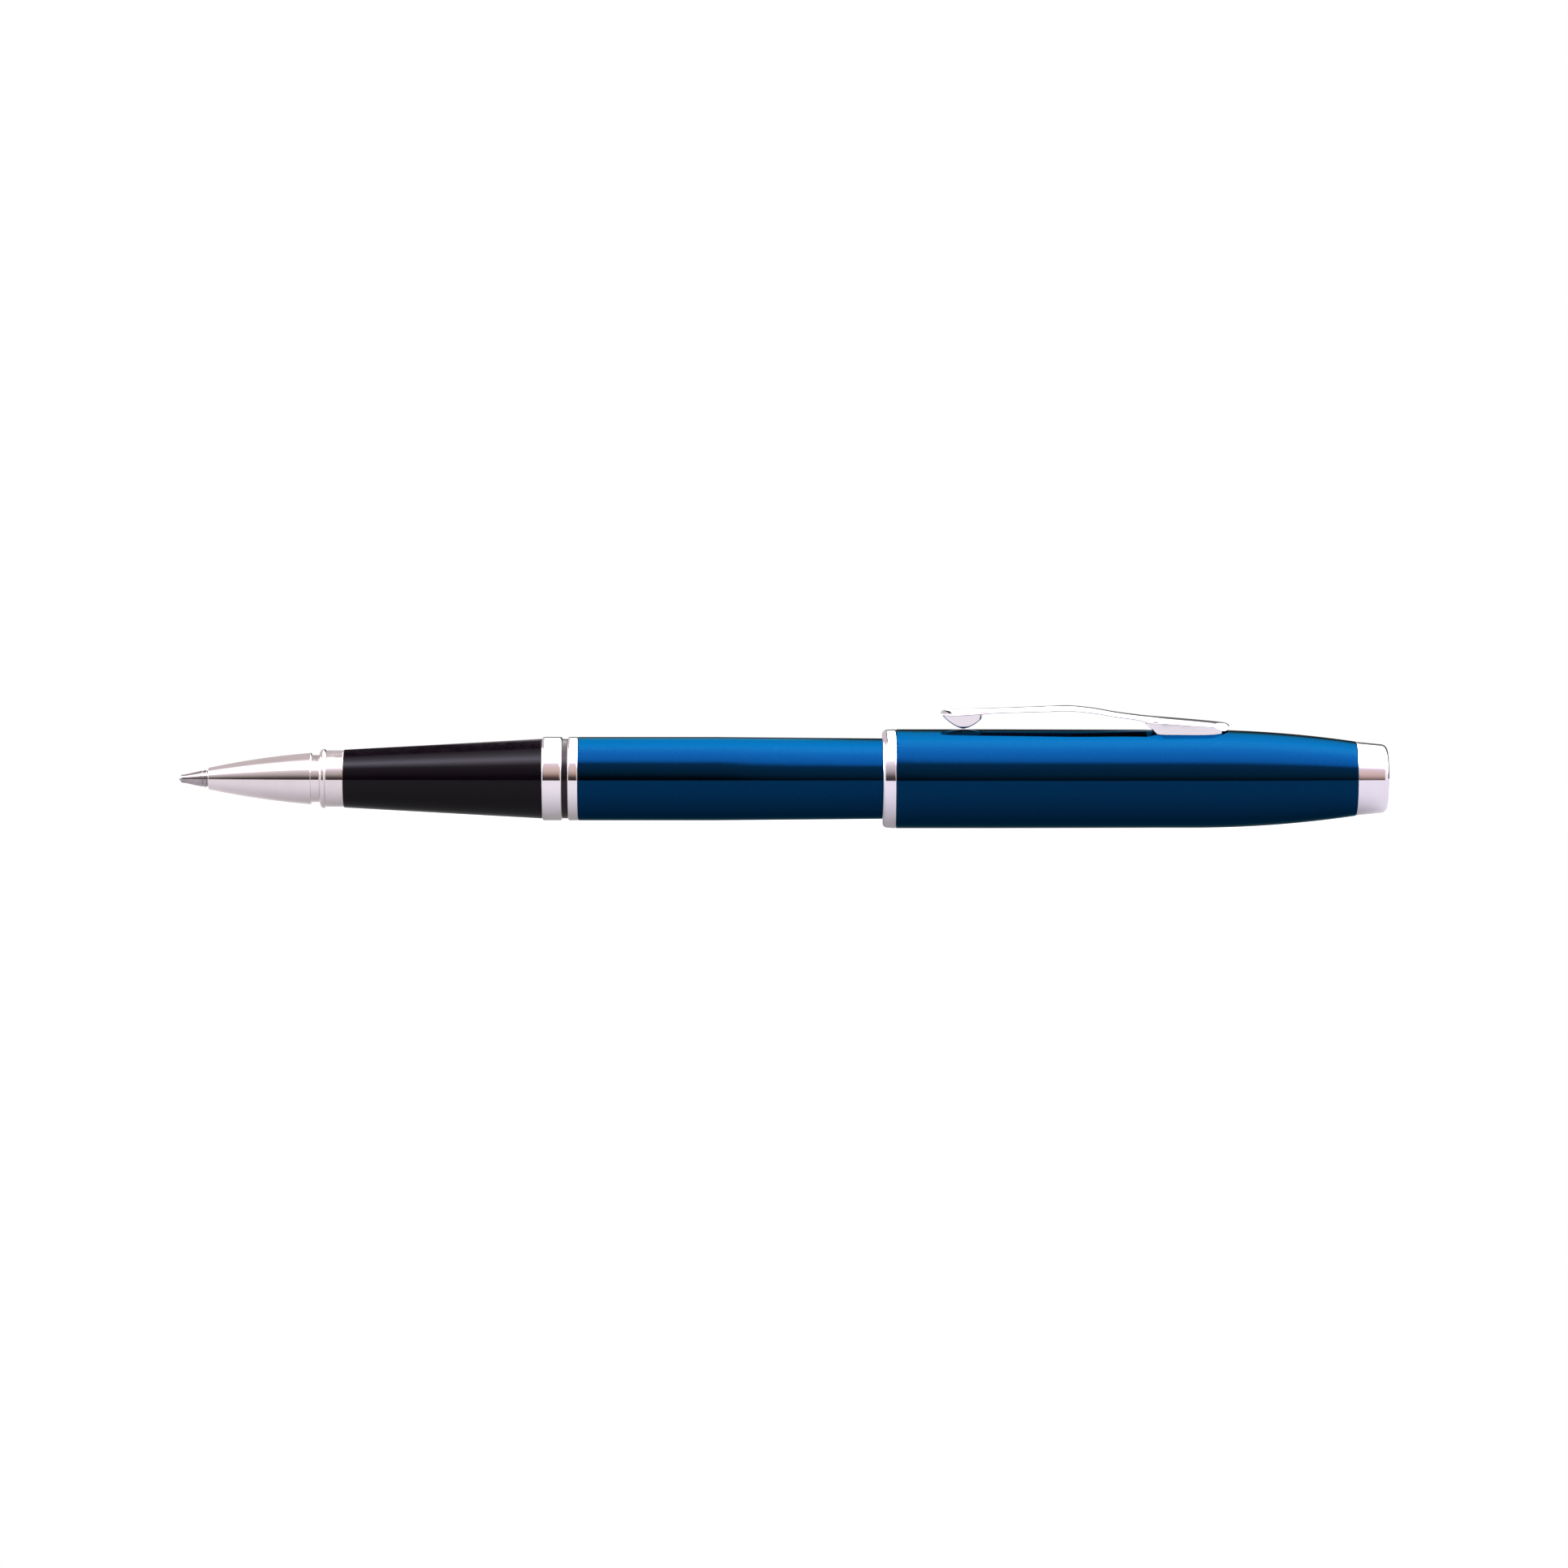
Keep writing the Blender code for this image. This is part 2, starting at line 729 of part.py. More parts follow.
def make_clip(pivot):
    """The sprung clip in one piece: arched strap, rounded pad under its free end, foot on the cap, and
    the tang that goes through the cap's slot."""
    shape = bmesh.new()
    lofted(shape, [strap_section(*row) for row in STRAP])
    clip = object_from("clip", shape, "chrome", pivot)

    on_cap = 4.0
    foot = (
        (119.15, 6.75),
        (119.6, 6.30),
        (120.1, 5.75),
        (120.6, 5.20),
        *[(station, on_cap) for station in (121.2, 123.0, 125.5, 127.4, 128.1, 128.6, 129.0, 129.25)],
    )
    foot_shape = bmesh.new()
    lofted(foot_shape, [foot_section(*row) for row in foot])
    foot_tool = object_from("clip_foot_tool", foot_shape, "chrome", pivot)
    combine(clip, foot_tool, "UNION")

    pad = (
        (94.10, 7.66, 0.70),
        (94.45, 7.32, 0.95),
        (94.90, 6.95, 1.12),
        (95.40, 6.62, 1.20),
        (95.95, 6.33, 1.25),
        (96.55, 6.16, 1.27),
        (97.10, 6.27, 1.25),
        (97.70, 6.55, 1.20),
        (98.20, 6.86, 1.10),
        (98.60, 7.17, 0.95),
        (98.85, 7.42, 0.72),
        (98.97, 7.65, 0.50),
    )
    pad_shape = bmesh.new()
    lofted(pad_shape, [pad_section(*row) for row in pad])
    pad_tool = object_from("clip_pad_tool", pad_shape, "chrome", pivot)
    combine(clip, pad_tool, "UNION")

    tang = block(
        "clip_tang_tool",
        (TANG_FRONT - CLIP_PIVOT_STATION, -TANG_HALF_WIDTH, 4.05 - CLIP_PIVOT_RADIUS),
        (TANG_REAR - CLIP_PIVOT_STATION, TANG_HALF_WIDTH, 6.7 - CLIP_PIVOT_RADIUS),
        "chrome",
        pivot,
    )
    combine(clip, tang, "UNION")
    hole = rod_across(
        "clip_tang_hole_cutter",
        KEEPER_STATION - CLIP_PIVOT_STATION,
        KEEPER_HEIGHT - CLIP_PIVOT_RADIUS,
        KEEPER_RADIUS + 0.03,
        TANG_HALF_WIDTH + 0.5,
        "chrome",
        pivot,
    )
    combine(clip, hole, "DIFFERENCE")


def make_clip_keeper(pivot):
    """The cross pin in the tang, which pulls on the leaf spring as the clip lifts."""
    rod_across(
        "clip_keeper_pin",
        KEEPER_STATION - CLIP_PIVOT_STATION,
        KEEPER_HEIGHT - CLIP_PIVOT_RADIUS,
        KEEPER_RADIUS,
        2.1,
        "steel",
        pivot,
        8,
    )


def make_clip_spring(axis):
    """A bowed leaf between the keeper pin and the cap's wall, slotted for the tang."""
    half_length, half_width, thickness, low, high = 3.6, 2.0, 0.15, 4.72, 5.0
    middle = (TANG_FRONT + TANG_REAR) / 2
    sections = []
    for share in spaced(-1.0, 1.0, 8):
        x = middle + share * half_length
        z = low + (high - low) * share * share
        corners = ((-half_width, 0), (half_width, 0), (half_width, thickness), (-half_width, thickness))
        sections.append([(x, y, z + up) for y, up in corners])
    shape = bmesh.new()
    lofted(shape, sections)
    leaf = object_from("clip_spring", shape, "steel", axis)
    gap = 0.35
    slot = block(
        "spring_slot_cutter",
        (TANG_FRONT - gap, -TANG_HALF_WIDTH - 0.15, low - 1),
        (TANG_REAR + gap, TANG_HALF_WIDTH + 0.15, high + 1),
        "steel",
        axis,
    )
    combine(leaf, slot, "DIFFERENCE")


def main():
    clear_scene()
    axis = empty_at("pen_axis", -LENGTH / 2, CAP_RADIUS)
    pivot = empty_at("clip_pivot", CLIP_PIVOT_STATION, CLIP_PIVOT_RADIUS, axis)
    on_axis = (
        make_writing_ball,
        make_point_socket,
        make_point_holder,
        make_ink_feed,
        make_ink_tube,
        make_ink_filler,
        make_refill_plug,
        make_nose_cone,
        make_front_collar,
        make_grip,
        make_section_bush,
        make_section_ring,
        make_section_gasket,
        make_barrel_ring,
        make_barrel_bush,
        make_barrel_tube,
        make_barrel_end_plug,
        make_refill_spring,
        make_cap_lip_ring,
        make_cap_snap_ring,
        make_cap_tube,
        make_cap_sleeve,
        make_inner_cap,
        make_cap_end_bush,
        make_finial_screw,
        make_cap_finial,
        make_clip_spring,
    )
    for make in on_axis:
        make(axis)
    make_clip(pivot)
    make_clip_keeper(pivot)


main()
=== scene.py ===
import json
import math

import bmesh
import bpy
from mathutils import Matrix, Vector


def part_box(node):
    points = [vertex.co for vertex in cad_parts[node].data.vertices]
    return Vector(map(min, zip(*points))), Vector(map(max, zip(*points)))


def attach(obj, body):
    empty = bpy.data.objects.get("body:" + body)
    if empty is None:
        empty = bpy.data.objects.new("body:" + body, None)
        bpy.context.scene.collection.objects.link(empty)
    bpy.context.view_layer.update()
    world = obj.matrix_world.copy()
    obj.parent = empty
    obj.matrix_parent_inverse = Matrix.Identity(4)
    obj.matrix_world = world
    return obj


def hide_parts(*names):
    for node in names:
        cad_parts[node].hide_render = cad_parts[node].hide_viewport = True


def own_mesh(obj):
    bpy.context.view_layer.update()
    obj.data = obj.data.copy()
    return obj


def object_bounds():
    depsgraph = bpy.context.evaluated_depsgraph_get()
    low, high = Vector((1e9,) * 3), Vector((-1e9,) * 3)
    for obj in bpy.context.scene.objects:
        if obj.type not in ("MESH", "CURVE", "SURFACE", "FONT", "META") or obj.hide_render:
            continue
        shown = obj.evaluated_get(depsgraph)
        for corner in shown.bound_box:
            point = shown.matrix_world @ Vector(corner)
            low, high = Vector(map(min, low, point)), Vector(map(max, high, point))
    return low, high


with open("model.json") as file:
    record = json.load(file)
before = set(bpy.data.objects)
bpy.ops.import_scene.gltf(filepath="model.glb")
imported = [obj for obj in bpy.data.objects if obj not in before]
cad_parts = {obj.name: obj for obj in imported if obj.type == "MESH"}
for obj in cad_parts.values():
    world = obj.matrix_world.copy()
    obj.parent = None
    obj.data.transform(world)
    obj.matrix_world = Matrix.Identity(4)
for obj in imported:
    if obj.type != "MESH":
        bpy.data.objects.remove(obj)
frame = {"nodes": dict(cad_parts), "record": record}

# A rollerball pen with its cap posted on the barrel's rear end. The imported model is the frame, and
# each piece below is the finer surface that stands for one of its nodes. Stations are millimetres
# along the pen from the writing ball's front, and radii are millimetres from the pen's axis.

MM = 0.001
TURN = 2 * math.pi
LENGTH = 148.8

CAD_LOW, CAD_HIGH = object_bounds()
RECORD = frame["record"]
JOINTS = {joint["name"]: joint for joint in RECORD["behaviour"]["joints"]}
BODY_OF = {node: body for body, nodes in RECORD["behaviour"]["bodies"].items() for node in nodes}
SLOT_OF = {part["node"]: part["material_slot"] for part in RECORD["subparts"]}

END_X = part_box("cap_finial")[1].x
AXIS_Z = JOINTS["section_unscrew"]["pos_m"][2]

# Radii and stations that several pieces share.
CAP_RADIUS = 6.1
BARREL_RADIUS = 5.15
GRIP_FRONT_RADIUS = 3.58
GRIP_REAR_RADIUS = 4.92
COLLAR_RADIUS = 3.5
BEAD_RADIUS = 3.65
NECK_RADIUS = 2.92
COLLAR_BORE = 2.92
NOSE_FRONT = 3.6
NECK_FRONT = 16.3
COLLAR_FRONT = 17.35
GRIP_FRONT = 20.32
SECTION_RING_FRONT = 44.72
GASKET_FRONT = 47.22
BARREL_RING_FRONT = 47.9
BARREL_FRONT = 49.2
BARREL_STRAIGHT_END = 66.0
BARREL_TAPER = 0.0088
CAP_FRONT = 86.6
CAP_TUBE_FRONT = 88.3
CAP_BORE = 5.5
BARREL_REAR = 116.5
PLUG_REAR = 118.0
FINIAL_FRONT = 144.92
REFILL_REAR = 110.0
SEAM = 0.012
FIT = 0.05
TUBE_WALL = 0.5
REFILL_RADIUS = 3.05
REFILL_BORE = 3.15
BALL_RADIUS = 0.35
POINT_RADIUS = 0.98

# The screw joint between section and barrel.
PITCH = 1.0
THREAD_TURNS = 6
THREAD_BAND = (THREAD_TURNS + 1) * PITCH
THREAD_RUNOUT = 0.3
THREAD_DEPTH = 0.45
MALE_CREST = 3.95
THREAD_CLEARANCE = 0.1
RIDGE_BASE = 0.6
RIDGE_TOP = 0.2

# The tang of the clip and the slot that it goes through.
TANG_FRONT = 122.3
TANG_REAR = 125.2
TANG_HALF_WIDTH = 0.9
KEEPER_STATION = 123.8
KEEPER_HEIGHT = 4.4
KEEPER_RADIUS = 0.25

# The screw that holds the finial, and the bores that it goes through.
SCREW_SHANK_RADIUS = 1.0
SCREW_BORE = 1.08

# How finely round parts and fillets are divided, and when a side counts as long beside its fillet.
OUTER_SIDES = 128
INNER_SIDES = 64
FILLET_STEPS = 5
LONG_SIDE = 3
GUARD_REACH = 1.2

# Materials.


def new_shader(name, colour, metallic, roughness, **sockets):
    """A material and its Principled shader, with the even values on the shader's own sockets."""
    made = bpy.data.materials.new(name)
    made.use_nodes = True
    shader = made.node_tree.nodes["Principled BSDF"]
    shader.inputs["Base Color"].default_value = (*colour, 1.0)
    shader.inputs["Metallic"].default_value = metallic
    shader.inputs["Roughness"].default_value = roughness
    for socket, value in sockets.items():
        shader.inputs[socket.replace("_", " ").title().replace("Ior", "IOR")].default_value = value
    return made, shader


def grain(made, scale, stretch=(1, 1, 1), detail=4.0):
    """A noise over the piece's own coordinates. The scale counts features in a metre."""
    nodes, links = made.node_tree.nodes, made.node_tree.links
    coordinates = nodes.new("ShaderNodeTexCoord")
    mapping = nodes.new("ShaderNodeMapping")
    mapping.inputs["Scale"].default_value = stretch
    noise = nodes.new("ShaderNodeTexNoise")
    noise.inputs["Scale"].default_value = scale
    noise.inputs["Detail"].default_value = detail
    links.new(coordinates.outputs["Object"], mapping.inputs["Vector"])
    links.new(mapping.outputs["Vector"], noise.inputs["Vector"])
    return noise.outputs["Fac"]


def vary_roughness(made, shader, pattern, low, high):
    """Lets the roughness follow a pattern between two values."""
    spread = made.node_tree.nodes.new("ShaderNodeMapRange")
    spread.inputs["From Min"].default_value = 0.3
    spread.inputs["From Max"].default_value = 0.7
    spread.inputs["To Min"].default_value = low
    spread.inputs["To Max"].default_value = high
    made.node_tree.links.new(pattern, spread.inputs["Value"])
    made.node_tree.links.new(spread.outputs["Result"], shader.inputs["Roughness"])


def vary_colour(made, shader, pattern, dark, light):
    """Lets the base colour follow a pattern between two colours."""
    ramp = made.node_tree.nodes.new("ShaderNodeValToRGB")
    ramp.color_ramp.elements[0].position = 0.35
    ramp.color_ramp.elements[0].color = (*dark, 1.0)
    ramp.color_ramp.elements[1].position = 0.65
    ramp.color_ramp.elements[1].color = (*light, 1.0)
    made.node_tree.links.new(pattern, ramp.inputs["Fac"])
    made.node_tree.links.new(ramp.outputs["Color"], shader.inputs["Base Color"])


def relief(made, shader, pattern, depth_mm):
    """Lets a pattern stand out of the surface by a depth in millimetres."""
    bump = made.node_tree.nodes.new("ShaderNodeBump")
    bump.inputs["Strength"].default_value = 1.0
    bump.inputs["Distance"].default_value = depth_mm * MM
    made.node_tree.links.new(pattern, bump.inputs["Height"])
    made.node_tree.links.new(bump.outputs["Normal"], shader.inputs["Normal"])


def chrome(name, colour):
    """Bright plated metal, with faint wipe marks and the trace of turning under the plating."""
    made, shader = new_shader(name, colour, 1.0, 0.05)
    dull = [0.985 * c for c in colour]
    vary_colour(made, shader, grain(made, 260), dull, colour)
    vary_roughness(made, shader, grain(made, 1400, (0.35, 1, 1)), 0.035, 0.07)
    relief(made, shader, grain(made, 9000, (1, 0.08, 0.08), 2.0), 0.0002)
    return made


def satin_chrome():
    """The nose's plating, a little softer and greyer than the rings'."""
    made, shader = new_shader("satin_chrome", (0.87, 0.785, 0.79), 1.0, 0.08)
    vary_colour(made, shader, grain(made, 320), (0.85, 0.76, 0.765), (0.885, 0.80, 0.805))
    vary_roughness(made, shader, grain(made, 1600, (0.5, 1, 1)), 0.05, 0.10)
    relief(made, shader, grain(made, 12000, (1, 0.05, 0.05), 2.0), 0.0003)
    return made


def blue_lacquer():
    """Transparent blue over bright metal: deep and saturated, with the finest flake in it."""
    blue = (0.0007, 0.0285, 0.085)
    tint = (0.45, 0.56, 0.61, 1.0)
    made, shader = new_shader("blue_lacquer", blue, 1.0, 0.07, specular_tint=tint)
    shader.inputs["Coat Weight"].default_value = 0.014
    shader.inputs["Coat Roughness"].default_value = 0.5
    flake = grain(made, 9000, (0.3, 1, 1), 2.0)
    vary_colour(made, shader, flake, [0.94 * c for c in blue], [1.06 * c for c in blue])
    vary_roughness(made, shader, grain(made, 700), 0.05, 0.085)
    relief(made, shader, grain(made, 3000, (0.1, 1, 1), 2.0), 0.0002)
    return made


def black_resin():
    """Polished black resin with a faint orange peel."""
    black = (0.0022, 0.0008, 0.0022)
    made, shader = new_shader("black_resin", black, 0.0, 0.1, specular_ior_level=0.155)
    vary_colour(made, shader, grain(made, 500), (0.0019, 0.0007, 0.0019), (0.0026, 0.0010, 0.0026))
    vary_roughness(made, shader, grain(made, 900), 0.08, 0.13)
    relief(made, shader, grain(made, 1500, (0.4, 1, 1)), 0.0006)
    return made


def black_rubber():
    """Smooth moulded rubber, a little warmer than the resin."""
    black, tint = (0.003, 0.002, 0.002), (1.0, 0.84, 0.88, 1.0)
    made, shader = new_shader("black_rubber", black, 0.0, 0.2, specular_ior_level=0.39)
    shader.inputs["Specular Tint"].default_value = tint
    vary_colour(made, shader, grain(made, 1500), (0.002, 0.0014, 0.0014), (0.005, 0.0034, 0.0034))
    vary_roughness(made, shader, grain(made, 2500), 0.16, 0.28)
    relief(made, shader, grain(made, 6000, (1, 0.2, 0.2)), 0.0012)
    return made


def brass():
    """Turned brass with tool marks round it."""
    made, shader = new_shader("turned_brass", (0.80, 0.56, 0.26), 1.0, 0.22)
    vary_colour(made, shader, grain(made, 600), (0.72, 0.48, 0.20), (0.86, 0.63, 0.32))
    vary_roughness(made, shader, grain(made, 5000, (1, 0.1, 0.1)), 0.16, 0.32)
    relief(made, shader, grain(made, 14000, (1, 0.03, 0.03), 2.0), 0.0015)
    return made


def steel(name, colour, low, high):
    """Turned steel, with a roughness between two values."""
    made, shader = new_shader(name, colour, 1.0, (low + high) / 2)
    dark = [0.88 * c for c in colour]
    light = [min(1.0, 1.08 * c) for c in colour]
    vary_colour(made, shader, grain(made, 900), dark, light)
    vary_roughness(made, shader, grain(made, 6000, (1, 0.15, 0.15)), low, high)
    relief(made, shader, grain(made, 16000, (1, 0.05, 0.05), 2.0), 0.0008)
    return made


def plastic(name, colour, roughness):
    """Moulded plastic that lets a little light in."""
    made, shader = new_shader(name, colour, 0.0, roughness, subsurface_weight=0.1)
    shader.inputs["Subsurface Scale"].default_value = 0.3 * MM
    dark = [0.93 * c for c in colour]
    vary_colour(made, shader, grain(made, 400), dark, colour)
    vary_roughness(made, shader, grain(made, 1200), roughness - 0.05, roughness + 0.08)
    relief(made, shader, grain(made, 4000), 0.0015)
    return made


def fibre():
    """Bonded fibre soaked in blue ink, with its strands along the pen."""
    made, shader = new_shader("inked_fibre", (0.02, 0.05, 0.25), 0.0, 0.9, sheen_weight=0.3)
    strands = grain(made, 4000, (0.04, 1, 1))
    vary_colour(made, shader, strands, (0.008, 0.02, 0.14), (0.035, 0.09, 0.34))
    vary_roughness(made, shader, strands, 0.75, 0.98)
    relief(made, shader, strands, 0.02)
    return made


MATERIALS = {
    "chrome": chrome("bright_chrome", (0.955, 0.89, 0.92)),
    "cool_chrome": chrome("cool_chrome", (0.955, 0.89, 0.975)),
    "satin_chrome": satin_chrome(),
    "blue_lacquer": blue_lacquer(),
    "black_resin": black_resin(),
    "black_rubber": black_rubber(),
    "brass": brass(),
    "steel": steel("bright_steel", (0.62, 0.59, 0.58), 0.18, 0.34),
    "point_steel": steel("point_steel", (0.42, 0.38, 0.385), 0.10, 0.18),
    "carbide": steel("polished_carbide", (0.40, 0.38, 0.38), 0.08, 0.16),
    "clear_resin": plastic("natural_resin", (0.70, 0.72, 0.72), 0.35),
    "white_resin": plastic("white_resin", (0.80, 0.80, 0.78), 0.4),
    "ink_fibre": fibre(),
}

# Shapes.


def piece(node, shape, finish=None, sharp=40):
    """Makes a bmesh into the object of a node's fine surface: named, shaded and finished."""
    bmesh.ops.recalc_face_normals(shape, faces=shape.faces)
    mesh = bpy.data.meshes.new(node + "_fine")
    shape.to_mesh(mesh)
    shape.free()
    mesh.shade_smooth()
    mesh.set_sharp_from_angle(angle=math.radians(sharp))
    mesh.materials.append(MATERIALS[finish or SLOT_OF[node]])
    made = bpy.data.objects.new(node + "_fine", mesh)
    bpy.context.scene.collection.objects.link(made)
    return made


def stand_for(made, node):
    """Lets an object show in place of a node and on its body."""
    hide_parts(node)
    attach(made, BODY_OF[node])
    return made


def place(station, across, up):
    """A point of the pen, given in millimetres from its axis, in the scene's frame."""
    return (END_X + (station - LENGTH) * MM, across * MM, AXIS_Z + up * MM)


def round_axis(station, radius, angle):
    """A point at a radius from the pen's axis. Angle 0 is above it."""
    return place(station, -radius * math.sin(angle), radius * math.cos(angle))


def band(shape, near, far):
    """Joins two closed rings of as many vertices with a band of faces."""
    for i in range(len(near)):
        j = (i + 1) % len(near)
        shape.faces.new((near[i], near[j], far[j], far[i]))


def filleted(outline, closed=True, flat_sides=False):
    """Rounds the corners of an outline of (a, b, fillet) points, each in the same number of steps.
    With flat_sides, a long side gets a point near each fillet, so that it shades flat up to it."""
    points = []
    count = len(outline)

    def towards(corner, other, reach):
        share = reach / max(1e-9, math.dist(corner, other))
        return tuple(corner[k] + (other[k] - corner[k]) * share for k in (0, 1))

    for i, (a, b, *fillet) in enumerate(outline):
        size = fillet[0] if fillet else 0
        inside = 0 < i < count - 1
        if not size or not (closed or inside):
            points.append((a, b))
            continue
        corner, before, after = (a, b), outline[i - 1][:2], outline[(i + 1) % count][:2]
        far_in, far_out = math.dist(corner, before), math.dist(corner, after)
        reach_in, reach_out = min(size, 0.5 * far_in), min(size, 0.5 * far_out)
        start, end = towards(corner, before, reach_in), towards(corner, after, reach_out)
        if flat_sides and far_in > LONG_SIDE * reach_in:
            points.append(towards(corner, before, GUARD_REACH * reach_in))
        for step in range(FILLET_STEPS + 1):
            t = step / FILLET_STEPS
            u, v, w = (1 - t) ** 2, 2 * t * (1 - t), t**2
            points.append(tuple(u * start[k] + v * corner[k] + w * end[k] for k in (0, 1)))
        if flat_sides and far_out > LONG_SIDE * reach_out:
            points.append(towards(corner, after, GUARD_REACH * reach_out))
    return points


def turned(node, outline, sides=INNER_SIDES, finish=None, opening=0.0, stand=True):
    """An outline of (station, radius, fillet) points turned round the pen's axis. It closes on
    itself, or on the axis if it begins and ends there. An opening leaves a slit, in degrees."""
    on_axis = outline[0][1] == 0
    points = filleted(outline, closed=not on_axis, flat_sides=True)
    shape = bmesh.new()
    sweep = TURN - math.radians(opening)
    angles = [sweep * i / sides for i in range(sides + 1 if opening else sides)]
    rings = []
    for station, radius in points:
        if radius < 1e-6:
            rings.append([shape.verts.new(place(station, 0, 0))])
        else:
            rings.append([shape.verts.new(round_axis(station, radius, a)) for a in angles])
    following = rings[1:] if on_axis else rings[1:] + rings[:1]
    for near, far in zip(rings, following):
        for i in range(sides):
            j = i + 1 if opening else (i + 1) % sides
            wanted = ((near, i), (near, j), (far, j), (far, i))
            corners = list(dict.fromkeys(ring[k % len(ring)] for ring, k in wanted))
            if len(corners) > 2:
                shape.faces.new(corners)
    if opening:
        shape.faces.new([ring[0] for ring in rings])
        shape.faces.new([ring[-1] for ring in rings])
    made = piece(node, shape, finish)
    return stand_for(made, node) if stand else made


def arc(station, height, radius, from_degrees, to_degrees, steps):
    """Points of an arc round (station, height). 0 degrees is along the pen, 90 is outwards."""
    angles = [math.radians(a) for a in spaced(from_degrees, to_degrees, steps)]
    return [(station + radius * math.cos(a), height + radius * math.sin(a)) for a in angles]


def spaced(low, high, steps):
    """Evenly spaced values from low to high, both included."""
    return [low + (high - low) * i / steps for i in range(steps + 1)]


def cap_radius(station):
    """The cap's outer radius: almost straight, then one long arc that draws in to the finial."""
    curve_start, curve_radius = 124.9, 138.0
    taper_start, taper_length, taper_loss = 100.0, 20.0, 0.05
    tapered = min(1.0, max(0.0, (station - taper_start) / taper_length))
    straight = CAP_RADIUS - taper_loss * tapered
    if station <= curve_start:
        return straight
    along = station - curve_start
    return straight - (curve_radius - math.sqrt(curve_radius**2 - along**2))


def barrel_radius(station):
    """The barrel's outer radius: straight, then a slight taper to its rear end."""
    if station <= BARREL_STRAIGHT_END:
        return BARREL_RADIUS
    return BARREL_RADIUS - BARREL_TAPER * (station - BARREL_STRAIGHT_END)


def nose_radius(station):
    """The nose cone's outer radius: one shallow arc from its front rim to its rear edge."""
    front, rear, bulge = 1.34, 3.19, 0.22
    share = (station - NOSE_FRONT) / (NECK_FRONT - NOSE_FRONT)
    return front + (rear - front) * share + 4 * bulge * share * (1 - share)


def threaded(node, before, after, far_side, thread, sides=INNER_SIDES):
    """A turned tube with a right-hand thread on one side: the rings before the thread, the helix,
    the rings after it, and those of the other side back to the start. thread is (start, root,
    crest)."""
    shape = bmesh.new()
    start, root, crest = thread
    flank = (RIDGE_BASE - RIDGE_TOP) / 2
    offsets = (0.0, flank, flank + RIDGE_TOP, RIDGE_BASE)
    radii = (root, crest, crest, root)
    last = THREAD_TURNS * sides

    def on_helix(column, offset, radius):
        station = start + PITCH * column / sides + offset
        return shape.verts.new(round_axis(station, radius, TURN * column / sides))

    roots = [on_helix(i, 0.0, root) for i in range(last + sides + 1)]
    columns = [
        [roots[i]] + [on_helix(i, offsets[k], radii[k]) for k in (1, 2, 3)] for i in range(last + 1)
    ]
    for i in range(last):
        here, there = columns[i], columns[i + 1]
        for k in range(3):
            shape.faces.new((here[k], there[k], there[k + 1], here[k + 1]))
        shape.faces.new((here[3], there[3], roots[i + 1 + sides], roots[i + sides]))
    shape.faces.new(columns[0])
    shape.faces.new(columns[last][::-1])

    angles = [TURN * i / sides for i in range(sides)]
    rings = []
    for station, radius in filleted([*after, *far_side, *before], closed=False):
        rings.append([shape.verts.new(round_axis(station, radius, a)) for a in angles])
    for near, far in zip(rings, rings[1:]):
        band(shape, near, far)
    first_ring, end_ring = rings[-1], rings[0]
    for i in range(sides - 1):
        shape.faces.new((first_ring[i], first_ring[i + 1], roots[i + 1], roots[i]))
    fan = [first_ring[0], roots[0], columns[0][3], roots[sides], roots[sides - 1]]
    for a, b in zip(fan, fan[1:]):
        shape.faces.new((first_ring[sides - 1], a, b))
    for i in range(1, sides):
        j = (i + 1) % sides
        shape.faces.new((roots[last + i], roots[last + i + 1], end_ring[j], end_ring[i]))
    fan = [roots[last], columns[last][3], roots[last + sides], end_ring[0], end_ring[1]]
    for a, b in zip(fan, fan[1:]):
        shape.faces.new((roots[last + 1], a, b))
    return stand_for(piece(node, shape, sharp=25), node)


def lofted(shape, sections):
    """Adds a closed skin over cross-sections that all have the same number of points, each a
    (station, across, up) in millimetres."""
    rings = [[shape.verts.new(place(*point)) for point in section] for section in sections]
    for near, far in zip(rings, rings[1:]):
        band(shape, near, far)
    shape.faces.new(rings[0])
    shape.faces.new(rings[-1])


def block(node, low, high):
    """A plain box between two corners, each a (station, across, up), to cut or join with."""
    shape = bmesh.new()
    (x0, y0, z0), (x1, y1, z1) = low, high
    lofted(shape, [[(x, y0, z0), (x, y1, z0), (x, y1, z1), (x, y0, z1)] for x in (x0, x1)])
    return piece(node + "_tool", shape, "steel")


def rod_across(node, station, up, radius, half_length, sides):
    """A round rod across the pen, by the station and the height of its own axis."""
    shape = bmesh.new()
    angles = [TURN * i / sides for i in range(sides)]
    outline = [(station + radius * math.cos(a), up + radius * math.sin(a)) for a in angles]
    lofted(shape, [[(x, y, z) for x, z in outline] for y in (-half_length, half_length)])
    return piece(node + "_tool", shape, "steel")


def combine(target, tools):
    """Cuts or joins the tools with the target for good, in turn, and deletes them."""
    for tool, operation in tools:
        modifier = target.modifiers.new(operation, "BOOLEAN")
        modifier.operation = operation
        modifier.solver = "EXACT"
        modifier.object = tool
    shown = target.evaluated_get(bpy.context.evaluated_depsgraph_get())
    mesh = bpy.data.meshes.new_from_object(shown)
    target.modifiers.clear()
    target.data = mesh
    mesh.shade_smooth()
    mesh.set_sharp_from_angle(angle=math.radians(35))
    for tool, _ in tools:
        bpy.data.objects.remove(tool)


